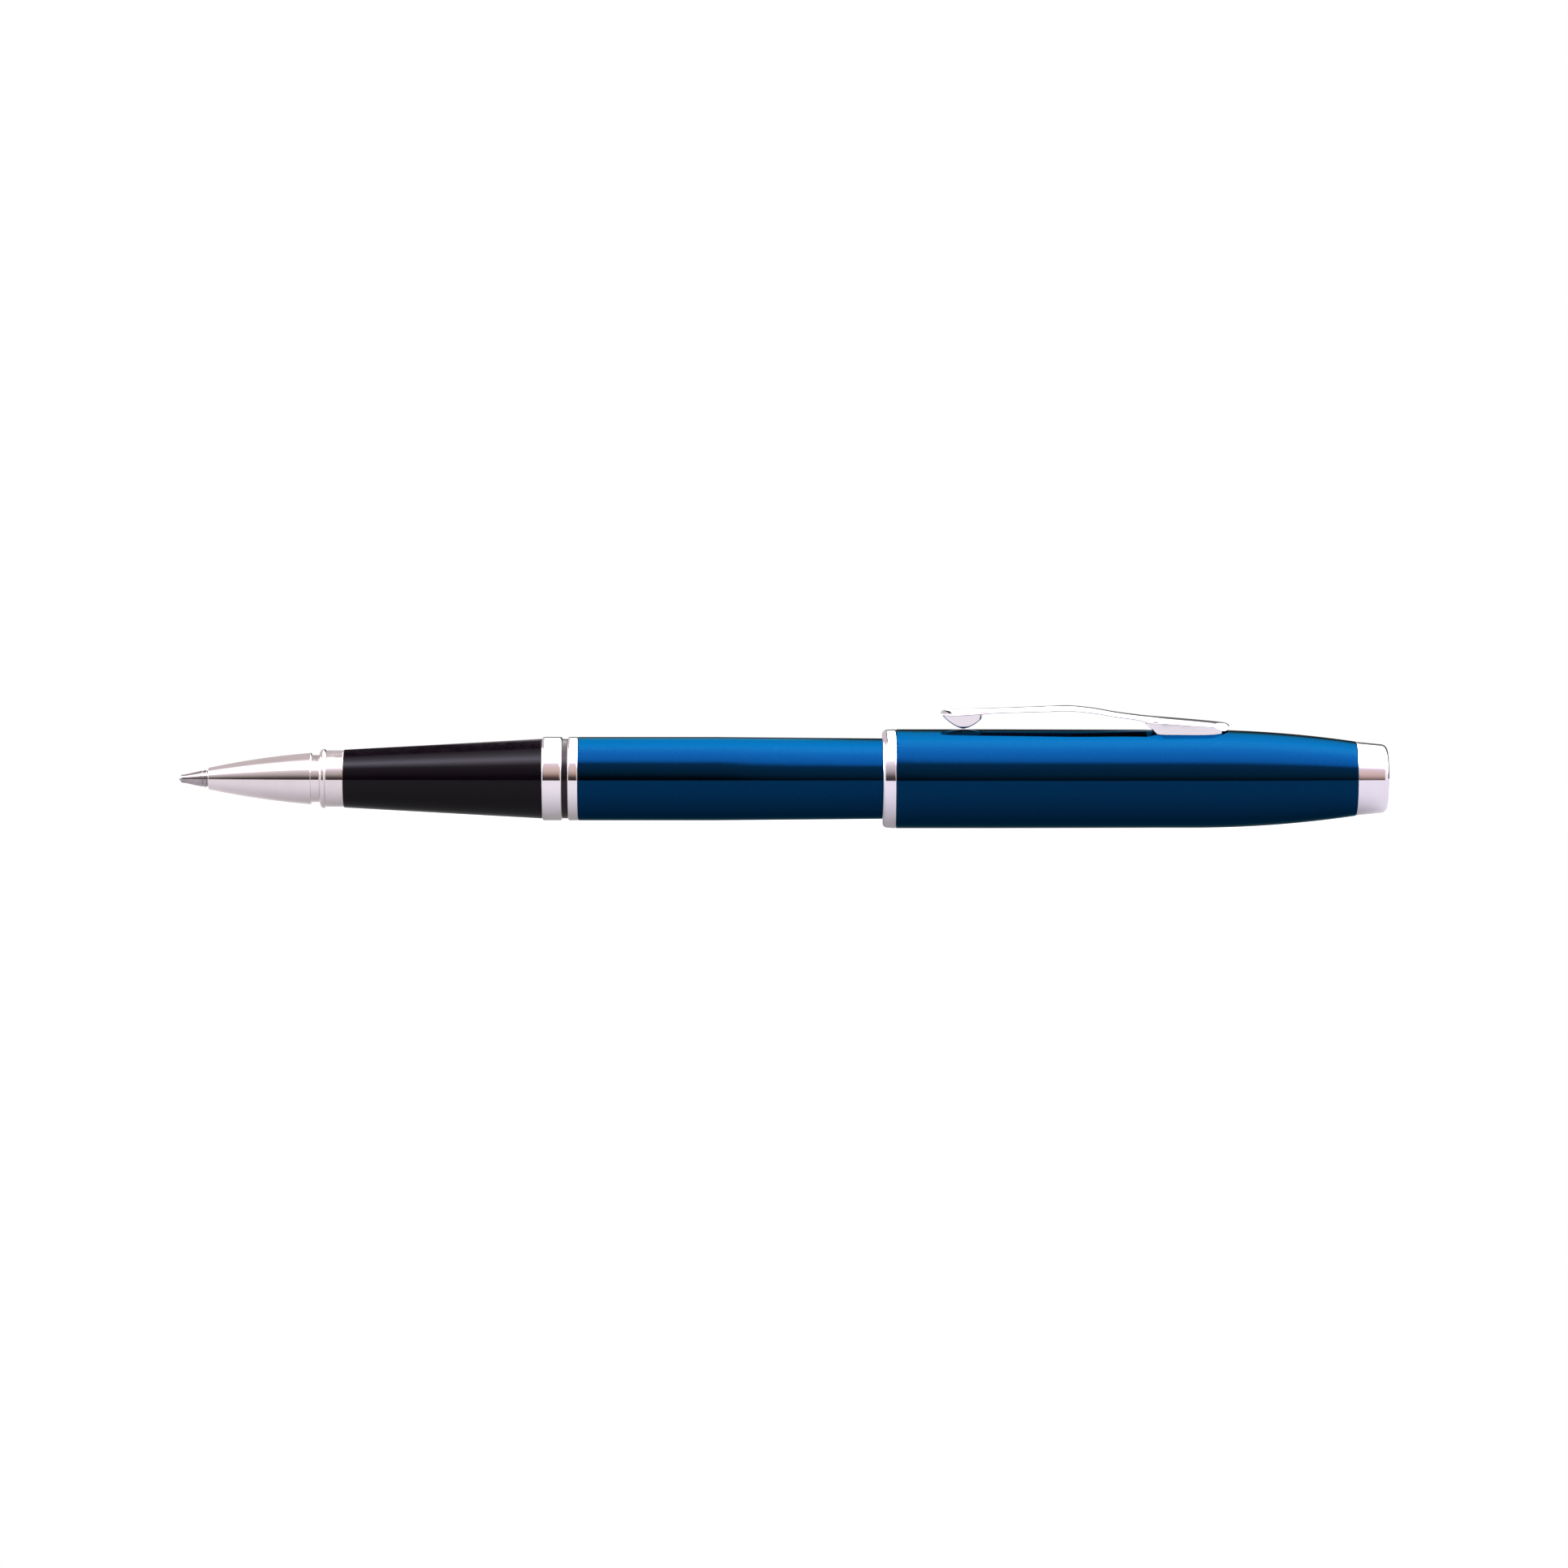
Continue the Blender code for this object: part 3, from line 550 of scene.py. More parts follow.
def slope_at(rows, j, k):
    """The slope of column k at row j of a table: 0 at a peak, so that a curve never overshoots."""
    last = len(rows) - 1

    def rise(a, b):
        return (rows[b][k] - rows[a][k]) / (rows[b][0] - rows[a][0])

    if j <= 0:
        return rise(0, 1)
    if j >= last:
        return rise(last - 1, last)
    low, high = rise(j - 1, j), rise(j, j + 1)
    return 0.0 if low * high <= 0 else 2 * low * high / (low + high)


def smooth_between(rows, station):
    """Reads a table of (station, value, ...) rows at a station, along a curve through its rows."""
    i = max(0, min(len(rows) - 2, sum(1 for row in rows if row[0] <= station) - 1))
    wide = rows[i + 1][0] - rows[i][0]
    t = (station - rows[i][0]) / wide
    return [
        (2 * t**3 - 3 * t**2 + 1) * rows[i][k]
        + (t**3 - 2 * t**2 + t) * wide * slope_at(rows, i, k)
        + (3 * t**2 - 2 * t**3) * rows[i + 1][k]
        + (t**3 - t**2) * wide * slope_at(rows, i + 1, k)
        for k in range(1, len(rows[0]))
    ]


# The refill.


def make_refill():
    """The refill's pieces. Its feed and filler keep their CAD shapes, with a fibre finish."""
    ball = bmesh.new()
    bmesh.ops.create_uvsphere(ball, u_segments=32, v_segments=16, radius=BALL_RADIUS * MM)
    bmesh.ops.translate(ball, verts=ball.verts, vec=place(BALL_RADIUS, 0, 0))
    stand_for(piece("writing_ball", ball), "writing_ball")

    seat = BALL_RADIUS + 0.03
    turned(
        "point_socket",
        [
            (0.20, 0.34),
            (0.20, 0.40, 0.03),
            (0.32, 0.50, 0.06),
            (0.85, 0.55, 0.1),
            (2.68, 0.98, 0.04),
            (2.86, 0.98, 0.02),
            (2.90, 0.93),
            (2.98, 0.93),
            (3.02, 1.03, 0.02),
            (3.40, 1.03, 0.03),
            (3.44, POINT_RADIUS),
            (6.50, POINT_RADIUS, 0.1),
            (6.50, 0.57),
            (3.90, 0.57),
            (3.60, 0.20),
            (0.75, 0.20),
            *arc(BALL_RADIUS, 0, seat, 35, 90, 6),
        ],
        finish="point_steel",
    )
    turned(
        "point_holder",
        [
            (6.00, 1.02),
            (6.00, 1.15, 0.05),
            (13.5, 2.20, 0.2),
            (25.7, 2.25, 0.1),
            (27.1, REFILL_RADIUS, 0.05),
            (27.2, REFILL_RADIUS),
            (27.2, 2.70),
            (31.0, 2.70, 0.2),
            (31.0, 0.56),
            (6.60, 0.56),
            (6.60, 1.02),
        ],
    )
    turned(
        "ink_tube",
        [
            (27.24, 2.75),
            (27.24, REFILL_RADIUS, 0.05),
            (109.0, REFILL_RADIUS, 0.05),
            (109.0, 2.75),
        ],
    )
    turned(
        "refill_plug",
        [
            (107.0, 0.3),
            (107.0, 2.70, 0.1),
            (109.04, 2.70),
            (109.04, REFILL_RADIUS, 0.05),
            (109.7, REFILL_RADIUS, 0.15),
            (REFILL_REAR, 2.75, 0.1),
            (REFILL_REAR, 1.1, 0.1),
            (109.5, 1.0, 0.1),
            (109.5, 0.3),
        ],
    )
    for node in ("ink_feed", "ink_filler"):
        for held in frame["nodes"][node].material_slots:
            held.material = MATERIALS["ink_fibre"]


# The section.


def make_section():
    turned(
        "nose_cone",
        [
            (NOSE_FRONT, 1.09, 0.03),
            (NOSE_FRONT, nose_radius(NOSE_FRONT), 0.08),
            *[(s, nose_radius(s)) for s in spaced(NOSE_FRONT, NECK_FRONT, 40)[1:-1]],
            (NECK_FRONT, nose_radius(NECK_FRONT), 0.06),
            (NECK_FRONT, NECK_RADIUS, 0.04),
            (COLLAR_FRONT - FIT, NECK_RADIUS),
            (COLLAR_FRONT - FIT, 2.86),
            (23.9, 2.86, 0.05),
            (23.9, 2.40),
            (14.0, 2.36),
            (5.00, 1.09),
        ],
        OUTER_SIDES,
        "satin_chrome",
    )
    bead_middle, bead_fillet, bead_rear = COLLAR_FRONT + 0.45, 0.4, COLLAR_FRONT + 0.9
    rear = GRIP_FRONT - SEAM
    turned(
        "front_collar",
        [
            (COLLAR_FRONT, COLLAR_BORE),
            (COLLAR_FRONT, 3.25, 0.05),
            *arc(bead_middle, BEAD_RADIUS - bead_fillet, bead_fillet, 165, 32, 12),
            (bead_rear, COLLAR_RADIUS, 0.03),
            (rear, COLLAR_RADIUS, 0.05),
            (rear, COLLAR_BORE),
        ],
        OUTER_SIDES,
        "satin_chrome",
    )
    rear = SECTION_RING_FRONT - SEAM
    turned(
        "grip",
        [
            (GRIP_FRONT, COLLAR_BORE),
            (GRIP_FRONT, GRIP_FRONT_RADIUS, 0.06),
            (rear, GRIP_REAR_RADIUS, 0.06),
            (rear, 3.68),
            (30.0, 3.68),
            (30.0, REFILL_BORE),
            (27.0, REFILL_BORE),
            (25.6, 2.40),
            (24.0, 2.40),
            (24.0, COLLAR_BORE),
        ],
        OUTER_SIDES,
    )
    seat, rear = 3.96, 56.5
    front, shoulder = SECTION_RING_FRONT - SEAM / 2, BARREL_RING_FRONT - SEAM
    root = MALE_CREST - THREAD_DEPTH
    start = BARREL_RING_FRONT + THREAD_RUNOUT
    threaded(
        "section_bush",
        [(30.05, 3.62), (front, 3.62), (front, seat), (shoulder, seat), (shoulder, root)],
        [(start + THREAD_BAND + THREAD_RUNOUT, root), (rear - 0.3, root), (rear, root - 0.2)],
        [(rear, REFILL_BORE), (30.05, REFILL_BORE)],
        (start, root, MALE_CREST),
    )
    rear = GASKET_FRONT - SEAM
    turned(
        "section_ring",
        [
            (SECTION_RING_FRONT, 4.01),
            (SECTION_RING_FRONT, BARREL_RADIUS, 0.3),
            (rear, BARREL_RADIUS, 0.25),
            (rear, 4.01),
        ],
        OUTER_SIDES,
    )
    rear = BARREL_RING_FRONT - SEAM
    turned(
        "section_gasket",
        [
            (GASKET_FRONT, 4.02),
            (GASKET_FRONT, 4.9, 0.05),
            (rear, 4.9, 0.05),
            (rear, 4.02),
        ],
        OUTER_SIDES,
    )


# The barrel.


def make_barrel():
    rear = BARREL_FRONT - SEAM
    turned(
        "barrel_ring",
        [
            (BARREL_RING_FRONT, 4.55),
            (BARREL_RING_FRONT, BARREL_RADIUS, 0.25),
            (rear, BARREL_RADIUS, 0.15),
            (rear, 4.55),
        ],
        OUTER_SIDES,
    )
    root = MALE_CREST + THREAD_CLEARANCE
    crest = MALE_CREST - THREAD_DEPTH + THREAD_CLEARANCE
    start = BARREL_RING_FRONT + THREAD_RUNOUT + PITCH / 2
    front, rear = BARREL_RING_FRONT + SEAM, 58.5
    threaded(
        "barrel_bush",
        [(front, 4.5), (front, root)],
        [(start + THREAD_BAND + THREAD_RUNOUT, root), (rear, root)],
        [(rear, 4.5)],
        (start, root, crest),
    )
    stations = [BARREL_FRONT, BARREL_STRAIGHT_END, *spaced(70.0, 115.0, 9), BARREL_REAR]
    outside = [(s, barrel_radius(s)) for s in stations]
    inside = [(s, r - TUBE_WALL) for s, r in reversed(outside)]
    outside[0] += (0.05,)
    outside[-1] += (0.04,)
    turned("barrel_tube", outside + inside, OUTER_SIDES)

    radius, corner, front = barrel_radius(BARREL_REAR), 0.7, BARREL_REAR + SEAM
    turned(
        "barrel_end_plug",
        [
            (PLUG_REAR, 0),
            *arc(PLUG_REAR - corner, radius - corner, corner, 0, 90, 12),
            (front, radius),
            (front, 4.12),
            (112.0, 4.12, 0.1),
            (112.0, 2.70, 0.1),
            (116.9, 2.70, 0.1),
            (116.9, 0),
        ],
        OUTER_SIDES,
    )


def make_refill_spring():
    """A compression spring with closed ends, built at its resting length, with a mesh of its own."""
    wire, mean, turns, steps, sides = 0.2, 2.1, 7, 32, 10
    low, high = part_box("refill_spring")
    front = LENGTH - (END_X - low.x) / MM + wire
    rear = LENGTH - (END_X - high.x) / MM - wire
    closed_pitch = 2 * wire + 0.02
    count = turns * steps
    rows = [
        (0.0, front),
        (1.0, front + closed_pitch),
        (turns - 1.0, rear - closed_pitch),
        (float(turns), rear),
    ]
    sections = []
    for i in range(count + 1):
        angle = TURN * i / steps
        station = smooth_between(rows, i / steps)[0]
        section = []
        for k in range(sides):
            around = TURN * k / sides
            radius = mean + wire * math.cos(around)
            along = station + wire * math.sin(around)
            section.append((along, radius * math.sin(angle), radius * math.cos(angle)))
        sections.append(section)
    shape = bmesh.new()
    lofted(shape, sections)
    spring = stand_for(piece("refill_spring", shape, sharp=60), "refill_spring")
    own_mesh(spring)


# The cap.


def make_cap():
    rear = CAP_TUBE_FRONT - SEAM
    turned(
        "cap_lip_ring",
        [
            (CAP_FRONT, 5.25, 0.08),
            (CAP_FRONT, 5.68, 0.15),
            (CAP_FRONT + 0.3, 6.02, 0.3),
            (rear, CAP_RADIUS - 0.01, 0.15),
            (rear, 5.54),
            (91.5, 5.54, 0.05),
            (91.5, 5.25),
            (88.4, 5.25),
            (88.4, 5.44),
            (87.1, 5.44),
            (87.1, 5.25),
        ],
        OUTER_SIDES,
        "cool_chrome",
    )
    turned(
        "cap_snap_ring",
        [
            (87.2, 5.20),
            (87.2, 5.38, 0.05),
            (88.3, 5.38, 0.05),
            (88.3, 5.20),
            (88.0, 5.07, 0.08),
            (87.5, 5.07, 0.08),
        ],
        opening=12,
    )
    stations = [CAP_TUBE_FRONT, 100.0, 110.0, 120.0, *spaced(125.0, FINIAL_FRONT - SEAM, 20)]
    outside = [(s, cap_radius(s)) for s in stations]
    inside = [(s, r - TUBE_WALL) for s, r in reversed(outside)]
    outside[0] += (0.09,)
    outside[-1] += (0.06,)
    tube = turned("cap_tube", outside + inside, OUTER_SIDES, stand=False)
    end_gap, side_gap = 0.3, 0.2
    slot = block(
        "cap_slot",
        (TANG_FRONT - end_gap, -TANG_HALF_WIDTH - side_gap, CAP_RADIUS - 1.4),
        (TANG_REAR + end_gap, TANG_HALF_WIDTH + side_gap, CAP_RADIUS + 0.6),
    )
    combine(tube, [(slot, "DIFFERENCE")])
    stand_for(tube, "cap_tube")

    turned(
        "cap_friction_sleeve",
        [
            (104.0, CAP_BORE, 0.05),
            (118.3, CAP_BORE, 0.05),
            (118.3, 4.80, 0.05),
            (106.0, 4.88, 0.3),
            (104.0, 5.15, 0.05),
        ],
    )
    turned(
        "inner_cap",
        [
            (138.4, 0),
            (138.4, 2.6, 0.2),
            (136.0, 3.9, 0.4),
            (119.8, 3.9, 0.1),
            (119.8, CAP_BORE, 0.08),
            (118.7, CAP_BORE, 0.08),
            (118.7, 3.22, 0.05),
            (119.6, 3.22, 0.1),
            (120.2, 3.4, 0.1),
            (135.5, 3.4, 0.4),
            (137.6, 1.4, 0.3),
            (137.6, 0),
        ],
    )
    front, rear = 140.4, FINIAL_FRONT - SEAM
    outside = [(s, cap_radius(s) - TUBE_WALL - FIT) for s in spaced(front, rear, 8)]
    turned("cap_end_bush", [(front, SCREW_BORE), *outside, (rear, SCREW_BORE)])

    head, head_front, seat, tip = 2.0, 138.7, 140.35, 147.0
    screw = turned(
        "finial_screw",
        [
            (tip, 0),
            (tip, SCREW_SHANK_RADIUS - 0.25, 0.05),
            (tip - 0.3, SCREW_SHANK_RADIUS, 0.05),
            (seat, SCREW_SHANK_RADIUS),
            (seat, head, 0.05),
            (head_front, head, 0.2),
            (head_front, 0),
        ],
        stand=False,
    )
    socket_radius, socket_front, socket_end = 0.9, head_front - 0.5, head_front + 0.9
    socket = turned(
        "finial_screw",
        [
            (socket_front, 0),
            (socket_front, socket_radius),
            (socket_end, socket_radius),
            (socket_end, 0),
        ],
        sides=6,
        stand=False,
    )
    combine(screw, [(socket, "DIFFERENCE")])
    stand_for(screw, "finial_screw")

    front_radius, rear_radius, corner, hole_end = 4.55, 4.24, 0.8, 147.3
    turned(
        "cap_finial",
        [
            (LENGTH, 0),
            *arc(LENGTH - corner, rear_radius - corner, corner, 0, 84, 14),
            (FINIAL_FRONT, front_radius, 0.15),
            (FINIAL_FRONT, SCREW_BORE),
            (hole_end, SCREW_BORE),
            (hole_end, 0),
        ],
        OUTER_SIDES,
        "cool_chrome",
    )


# The clip.


# Rows of the strap: station, top, lower edge, half width. Heights are from the pen's axis.
STRAP = (
    (93.85, 8.24, 7.96, 0.55),
    (93.98, 8.40, 7.84, 0.88),
    (94.30, 8.475, 7.76, 1.14),
    (95.20, 8.54, 7.70, 1.39),
    (98.20, 8.66, 7.85, 1.50),
    (100.6, 8.73, 8.05, 1.52),
    (106.4, 8.94, 8.21, 1.65),
    (109.3, 9.05, 8.30, 1.72),
    (112.1, 8.83, 8.09, 1.80),
    (115.5, 8.27, 7.55, 1.95),
    (118.4, 7.90, 7.12, 2.20),
    (119.6, 7.78, 6.76, 2.50),
    (121.2, 7.65, 6.69, 2.92),
    (125.5, 7.29, 6.39, 2.95),
    (127.2, 7.13, 6.30, 2.80),
    (127.9, 7.05, 5.98, 2.54),
    (128.5, 6.98, 5.82, 2.20),
    (129.0, 6.86, 5.92, 1.70),
    (129.3, 6.66, 6.10, 1.10),
)
# The foot's front face, which slopes down to the cap: station, height.
FOOT_FRONT = ((119.15, 6.75), (119.6, 6.30), (120.1, 5.75), (120.6, 5.20), (121.2, 4.0))
FOOT_REAR = 128.3
# Rows of the pad: station, bottom, half width.
PAD = (
    (94.10, 7.66, 0.70),
    (94.45, 7.32, 0.95),
    (94.90, 6.95, 1.12),
    (95.40, 6.62, 1.20),
    (95.95, 6.33, 1.25),
    (96.55, 6.16, 1.27),
    (97.10, 6.27, 1.25),
    (97.70, 6.55, 1.20),
    (98.20, 6.86, 1.10),
    (98.60, 7.17, 0.95),
    (98.85, 7.42, 0.72),
    (98.97, 7.65, 0.50),
)


def strap_section(station):
    """One cross-section of the clip's strap: an arched top, thin edges and a flat underside."""
    top, edge, half_width = smooth_between(STRAP, station)
    side, soft = 0.1, 0.05
    rise = top - edge - side
    arch = [
        (share * half_width, edge + side + rise * (1 - share * share))
        for share in spaced(0.97, -0.97, 24)
    ]
    outline = [
        (half_width, edge, soft),
        (half_width, edge + side, soft),
        *arch,
        (-half_width, edge + side, soft),
        (-half_width, edge, soft),
    ]
    return [(station, y, z) for y, z in filleted(outline)]


def foot_section(station):
    """One cross-section of the clip's foot: flanks that lean in from the strap's edges, down to the
    foot's sloping face or, behind it, to inside the cap."""
    inset, lean = 0.02, 0.1
    _, edge, half_width = smooth_between(STRAP, station)
    in_front = station < FOOT_FRONT[-1][0]
    lowest = smooth_between(FOOT_FRONT, station)[0] if in_front else FOOT_FRONT[-1][1]
    top, wide = edge + 0.07, half_width - inset
    narrow = wide - min(lean * (top - lowest), 0.4 * half_width)
    return [
        (station, wide, top),
        (station, -wide, top),
        (station, -narrow, lowest),
        (station, narrow, lowest),
    ]


def pad_section(station):
    """One cross-section of the clip's pad: flanks that lean in, and a rounded bottom edge."""
    bottom, half_width = smooth_between(PAD, station)
    _, edge, _ = smooth_between(STRAP, station)
    top = edge + 0.08
    depth = top - bottom
    lean, soft = 0.21 * depth, min(0.13, 0.45 * depth)
    outline = [
        (half_width, top),
        (half_width - lean, bottom, soft),
        (lean - half_width, bottom, soft),
        (-half_width, top),
    ]
    return [(station, y, z) for y, z in filleted(outline)]


def make_clip():
    shape = bmesh.new()
    front_end, curl_start = 96.0, 127.0
    stations = [
        *spaced(STRAP[0][0], front_end, 20),
        *spaced(front_end, curl_start, 80)[1:],
        *spaced(curl_start, STRAP[-1][0], 20)[1:],
    ]
    lofted(shape, [strap_section(s) for s in stations])
    clip = piece("clip", shape)

    shape = bmesh.new()
    slope_start, slope_end = FOOT_FRONT[0][0], FOOT_FRONT[-1][0]
    stations = [
        *spaced(slope_start, slope_end, 16),
        *spaced(slope_end, curl_start, 12)[1:],
        *spaced(curl_start, FOOT_REAR, 10)[1:],
    ]
    lofted(shape, [foot_section(s) for s in stations])
    foot = piece("clip_foot", shape, "chrome")

    shape = bmesh.new()
    lofted(shape, [pad_section(s) for s in spaced(PAD[0][0], PAD[-1][0], 40)])
    pad = piece("clip_pad", shape, "chrome")

    outline = [(s, cap_radius(s) + SEAM) for s in (117.0, 124.0, *spaced(125.0, 131.0, 12))]
    outline = [(outline[0][0], 0), *outline, (outline[-1][0], 0)]
    cap_space = turned("clip", outline, OUTER_SIDES, "chrome", stand=False)
    tang = block(
        "clip_tang",
        (TANG_FRONT, -TANG_HALF_WIDTH, 4.05),
        (TANG_REAR, TANG_HALF_WIDTH, 6.7),
    )
    hole = rod_across(
        "clip_hole", KEEPER_STATION, KEEPER_HEIGHT, KEEPER_RADIUS + 0.03, TANG_HALF_WIDTH + 0.5, 32
    )
    for tool in (tang, hole):
        tool.data.materials[0] = MATERIALS["chrome"]
    combine(
        clip,
        [
            (foot, "UNION"),
            (cap_space, "DIFFERENCE"),
            (pad, "UNION"),
            (tang, "UNION"),
            (hole, "DIFFERENCE"),
        ],
    )
    stand_for(clip, "clip")

    pin = rod_across("clip_keeper_pin", KEEPER_STATION, KEEPER_HEIGHT, KEEPER_RADIUS, 2.1, 24)
    pin.name = "clip_keeper_pin_fine"
    stand_for(pin, "clip_keeper_pin")


def make_clip_spring():
    """The bowed leaf under the cap's wall, built in its bowed resting shape, with a mesh of its own.
    """
    half_length, half_width, thickness, low, high = 3.6, 2.0, 0.15, 4.72, 5.0
    slot_end_gap, slot_side_gap = 0.35, 0.15
    middle = (TANG_FRONT + TANG_REAR) / 2
    sections = []
    for share in spaced(-1.0, 1.0, 32):
        x = middle + share * half_length
        z = low + (high - low) * share * share
        sections.append(
            [
                (x, -half_width, z),
                (x, half_width, z),
                (x, half_width, z + thickness),
                (x, -half_width, z + thickness),
            ]
        )
    shape = bmesh.new()
    lofted(shape, sections)
    leaf = piece("clip_spring", shape)
    slot = block(
        "leaf_slot",
        (TANG_FRONT - slot_end_gap, -TANG_HALF_WIDTH - slot_side_gap, low - 1),
        (TANG_REAR + slot_end_gap, TANG_HALF_WIDTH + slot_side_gap, high + 1),
    )
    combine(leaf, [(slot, "DIFFERENCE")])
    stand_for(leaf, "clip_spring")
    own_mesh(leaf)


# Studio, floor and camera.


def make_floor():
    """A pale table that ends a hand's width in front of the pen, where a dark room shows in the
    polished parts. It glows a little in them, and more to the camera, where it reads as white."""
    front, half = 0.07, 20.0
    glow_in_reflections, glow_to_camera = 0.3, 0.82
    shape = bmesh.new()
    corners = [(-half, -front), (half, -front), (half, half), (-half, half)]
    shape.faces.new([shape.verts.new((x, y, CAD_LOW.z)) for x, y in corners])
    mesh = bpy.data.meshes.new("floor")
    shape.to_mesh(mesh)
    shape.free()
    made, shader = new_shader("pale_floor", (0.165, 0.165, 0.167), 0.0, 1.0, specular_ior_level=0.0)
    shader.inputs["Emission Color"].default_value = (1.0, 1.0, 1.0, 1.0)
    nodes, links = made.node_tree.nodes, made.node_tree.links
    glow = nodes.new("ShaderNodeMapRange")
    glow.inputs["To Min"].default_value = glow_in_reflections
    glow.inputs["To Max"].default_value = glow_to_camera
    links.new(nodes.new("ShaderNodeLightPath").outputs["Is Camera Ray"], glow.inputs["Value"])
    links.new(glow.outputs["Result"], shader.inputs["Emission Strength"])
    mesh.materials.append(made)
    floor = bpy.data.objects.new("floor", mesh)
    bpy.context.scene.collection.objects.link(floor)


# What the studio shows in each direction round the pen's length: degrees (0 in front, 90 above, 180
# behind) and light. The low part is a dim warm room, then comes the long soft box over the pen.
# LEFT_ROOM is the same round the nose, where the box is narrower and ends overhead. BRIGHT_END is
# the low part past the pen's two ends.
LOW_ROOM = (
    (0, (0.045, 0.03, 0.028)),
    (4, (0.10, 0.065, 0.058)),
    (8, (0.22, 0.155, 0.135)),
    (12.5, (0.39, 0.275, 0.24)),
    (17, (0.51, 0.385, 0.345)),
    (22, (0.61, 0.465, 0.425)),
    (30, (0.68, 0.53, 0.50)),
    (40, (0.76, 0.64, 0.67)),
)
LONG_BOX = (
    (43, (0.95, 0.85, 0.95)),
    (51, (3.0, 2.75, 3.6)),
    (60, (3.6, 3.4, 4.4)),
    (70, (4.1, 3.95, 4.9)),
    (81, (4.8, 4.75, 5.6)),
    (93, (6.1, 6.2, 6.4)),
    (107, (6.7, 6.7, 6.8)),
    (126, (5.8, 5.8, 5.9)),
    (140, (4.5, 4.5, 4.6)),
    (150, (2.0, 2.0, 2.0)),
    (156, (0.2, 0.2, 0.2)),
    (180, (0.05, 0.05, 0.05)),
)
LEFT_ROOM = (
    (0, (0.045, 0.035, 0.035)),
    (6, (0.10, 0.09, 0.085)),
    (12, (0.26, 0.235, 0.23)),
    (18, (0.42, 0.385, 0.38)),
    (30, (0.62, 0.58, 0.60)),
    (41, (0.95, 0.9, 0.95)),
    (48, (3.2, 3.0, 3.6)),
    (60, (8.0, 7.5, 9.0)),
    (68, (5.5, 5.2, 6.2)),
    (76, (3.0, 2.8, 3.3)),
    (88, (1.3, 1.25, 1.35)),
    (98, (0.75, 0.73, 0.75)),
)
BRIGHT_END = ((0, (0.9, 0.9, 0.92)), (36, (1.0, 1.0, 1.02)))


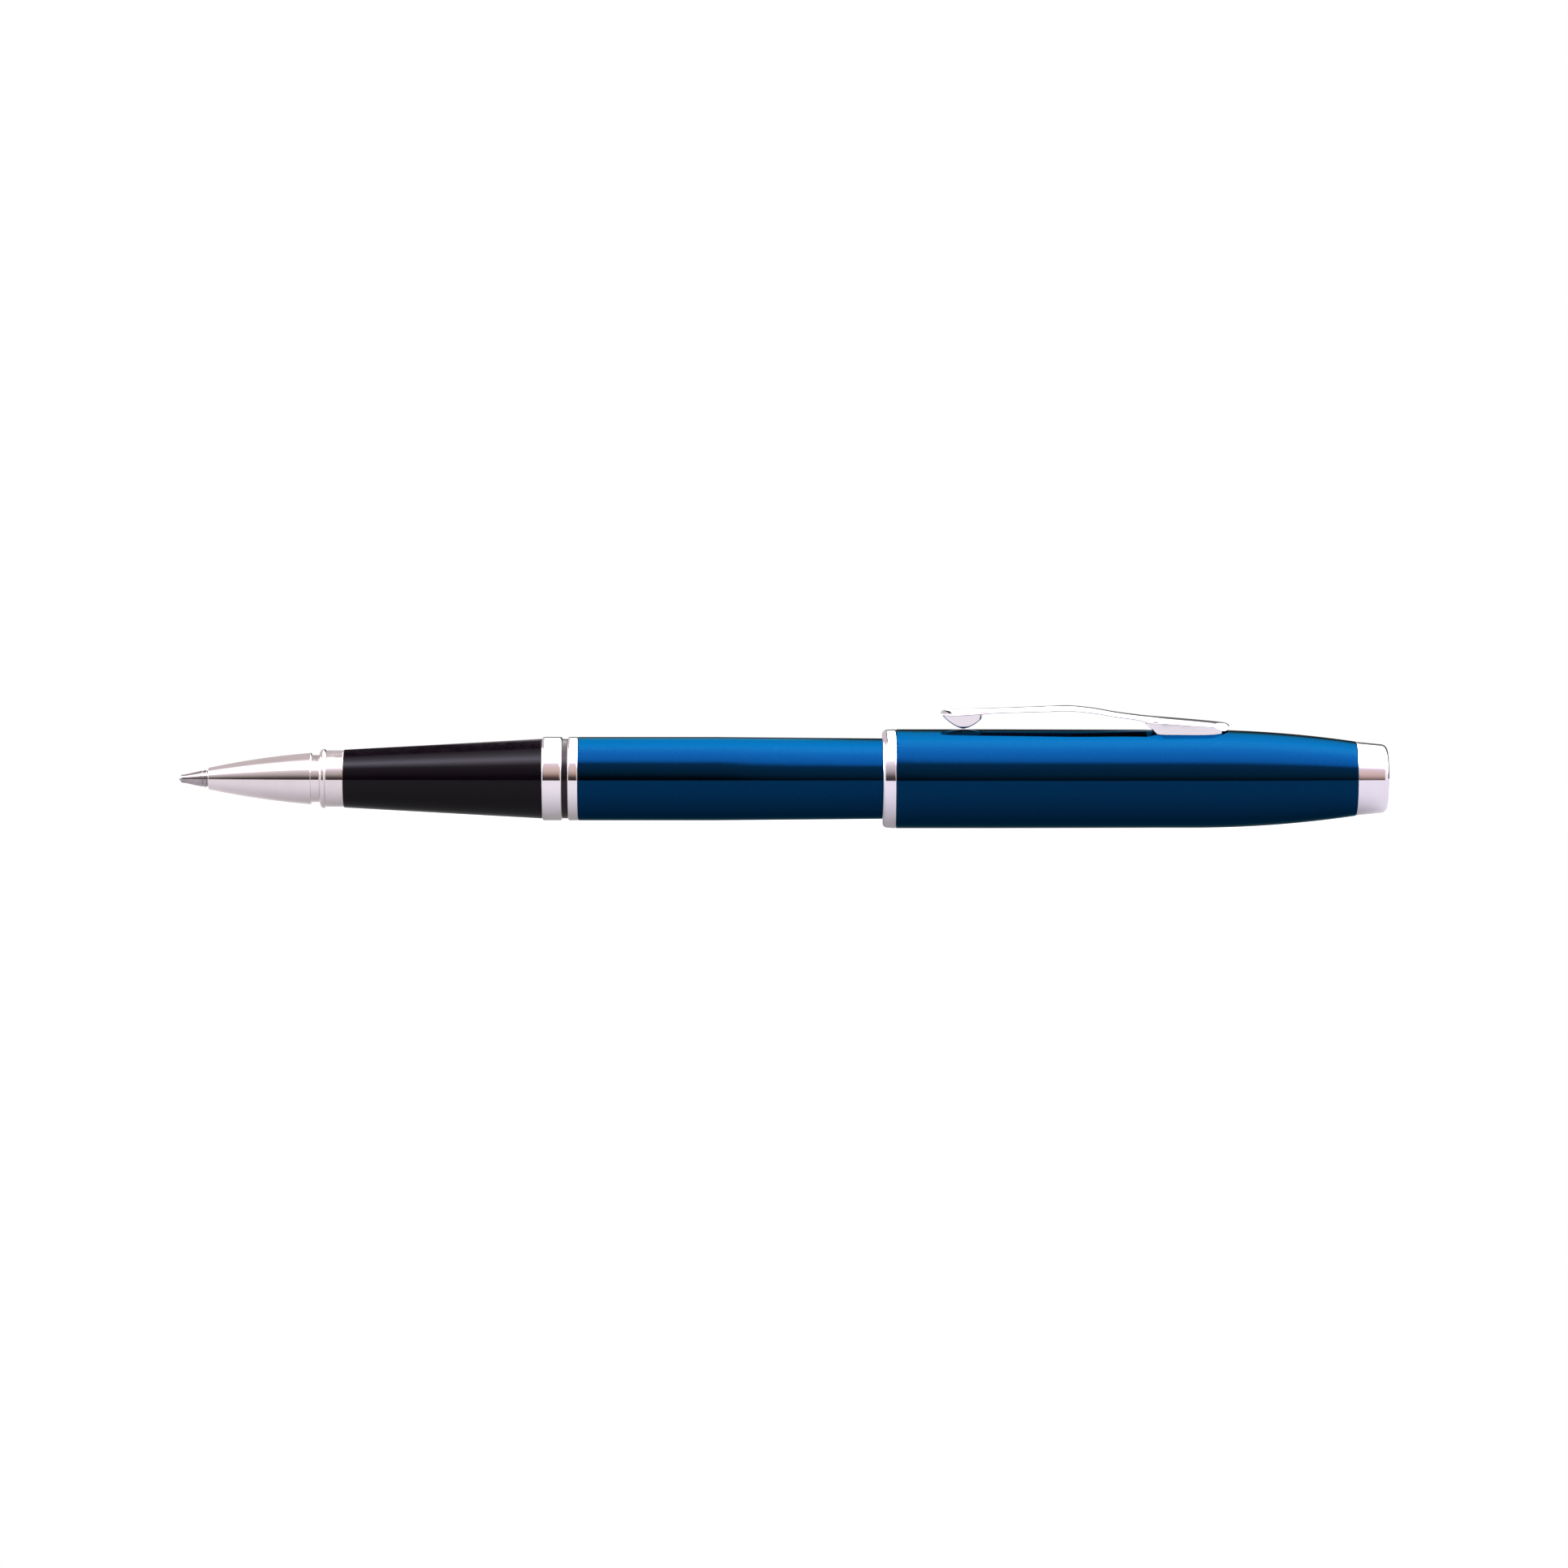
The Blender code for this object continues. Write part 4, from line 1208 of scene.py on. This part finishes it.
def make_studio():
    """Soft light from all round: the long box over the pen, a narrower one over its nose, and white
    cards past its ends. It is one world, blended by how far a direction leans along the pen: x is
    negative towards the nose."""
    world = bpy.data.worlds.new("studio")
    bpy.context.scene.world = world
    world.use_nodes = True
    nodes, links = world.node_tree.nodes, world.node_tree.links
    nodes.clear()

    def math_node(operation, *values):
        node = nodes.new("ShaderNodeMath")
        node.operation = operation
        for socket, value in zip(node.inputs, values):
            if isinstance(value, (int, float)):
                socket.default_value = value
            else:
                links.new(value, socket)
        return node.outputs[0]

    def ramp(degrees, stops):
        node = nodes.new("ShaderNodeValToRGB")
        elements = node.color_ramp.elements
        elements.remove(elements[1])
        elements[0].color = (*stops[0][1], 1.0)
        for at, colour in stops[1:]:
            elements.new(at / 180).color = (*colour, 1.0)
        links.new(math_node("DIVIDE", degrees, 180.0), node.inputs["Fac"])
        return node.outputs["Color"]

    def step(value, low, high):
        node = nodes.new("ShaderNodeMapRange")
        node.interpolation_type = "SMOOTHSTEP"
        node.inputs["From Min"].default_value = low
        node.inputs["From Max"].default_value = high
        links.new(value, node.inputs["Value"])
        return node.outputs["Result"]

    def mix(factor, first, second):
        node = nodes.new("ShaderNodeMix")
        node.data_type = "RGBA"
        for name, value in (("Factor", factor), ("A", first), ("B", second)):
            if isinstance(value, tuple):
                node.inputs[name].default_value = value
            else:
                links.new(value, node.inputs[name])
        return node.outputs["Result"]

    direction = nodes.new("ShaderNodeTexCoord").outputs["Generated"]
    parts = nodes.new("ShaderNodeSeparateXYZ")
    links.new(direction, parts.inputs["Vector"])
    x, y, z = parts.outputs
    around = math_node("DEGREES", math_node("ARCTAN2", z, math_node("MULTIPLY", y, -1.0)))
    aside = math_node("ABSOLUTE", x)

    # Over the cap the box hangs lower.
    box_drop = 9.0
    dropped = math_node("MULTIPLY", step(x, 0.004, 0.02), box_drop)
    over_pen = ramp(math_node("ADD", around, dropped), LOW_ROOM + LONG_BOX)
    past_end = ramp(around, BRIGHT_END + LONG_BOX)
    over_nose = ramp(around, LEFT_ROOM)

    # Behind the pen's front it is dark but for a pale card. The card's edge runs between the
    # directions that the nose reflects and those of the grip, which slopes less.
    dark, pale = (0.02, 0.02, 0.02, 1.0), (0.62, 0.57, 0.58, 1.0)
    edge_lean = 0.131
    half_turned = math_node("COSINE", math_node("MULTIPLY", around, math.pi / 360))
    leaning = math_node("ADD", x, math_node("MULTIPLY", half_turned, edge_lean))
    by_nose = math_node("SUBTRACT", 1.0, step(leaning, -0.0640, -0.0610))
    card = math_node("MAXIMUM", by_nose, step(x, -0.068, -0.063))
    behind_nose = mix(card, dark, pale)

    left = mix(step(around, 92, 104), over_nose, behind_nose)
    along = mix(step(x, -0.054, -0.036), left, over_pen)
    ended = mix(step(aside, 0.62, 0.7), along, past_end)
    whole = mix(step(aside, 0.95, 0.995), ended, (1.0, 1.0, 1.02, 1.0))

    lit = nodes.new("ShaderNodeBackground")
    links.new(whole, lit.inputs["Color"])
    plain = nodes.new("ShaderNodeBackground")
    plain.inputs["Color"].default_value = (1.0, 1.0, 1.0, 1.0)
    chosen = nodes.new("ShaderNodeMixShader")
    links.new(nodes.new("ShaderNodeLightPath").outputs["Is Camera Ray"], chosen.inputs["Fac"])
    links.new(lit.outputs["Background"], chosen.inputs[1])
    links.new(plain.outputs["Background"], chosen.inputs[2])
    output = nodes.new("ShaderNodeOutputWorld")
    links.new(chosen.outputs["Shader"], output.inputs["Surface"])


def make_camera():
    """Level with the pen and square to it, so that it looks along +Y from in front."""
    distance, seen_width, below_axis, aim_station = 0.9, 0.1932, 0.00065, 74.5
    data = bpy.data.cameras.new("camera")
    data.sensor_width = 36.0
    data.lens = data.sensor_width * distance / seen_width
    data.clip_start, data.clip_end = 0.05, 100.0
    camera = bpy.data.objects.new("camera", data)
    bpy.context.scene.collection.objects.link(camera)
    camera.location = (place(aim_station, 0, 0)[0], -distance, AXIS_Z - below_axis)
    camera.rotation_euler = (math.radians(90), 0, 0)
    bpy.context.scene.camera = camera


make_refill()
make_section()
make_barrel()
make_refill_spring()
make_cap()
make_clip()
make_clip_spring()
make_floor()
make_studio()
make_camera()

view_settings = bpy.context.scene.view_settings
view_settings.view_transform = "Standard"
view_settings.look = "None"
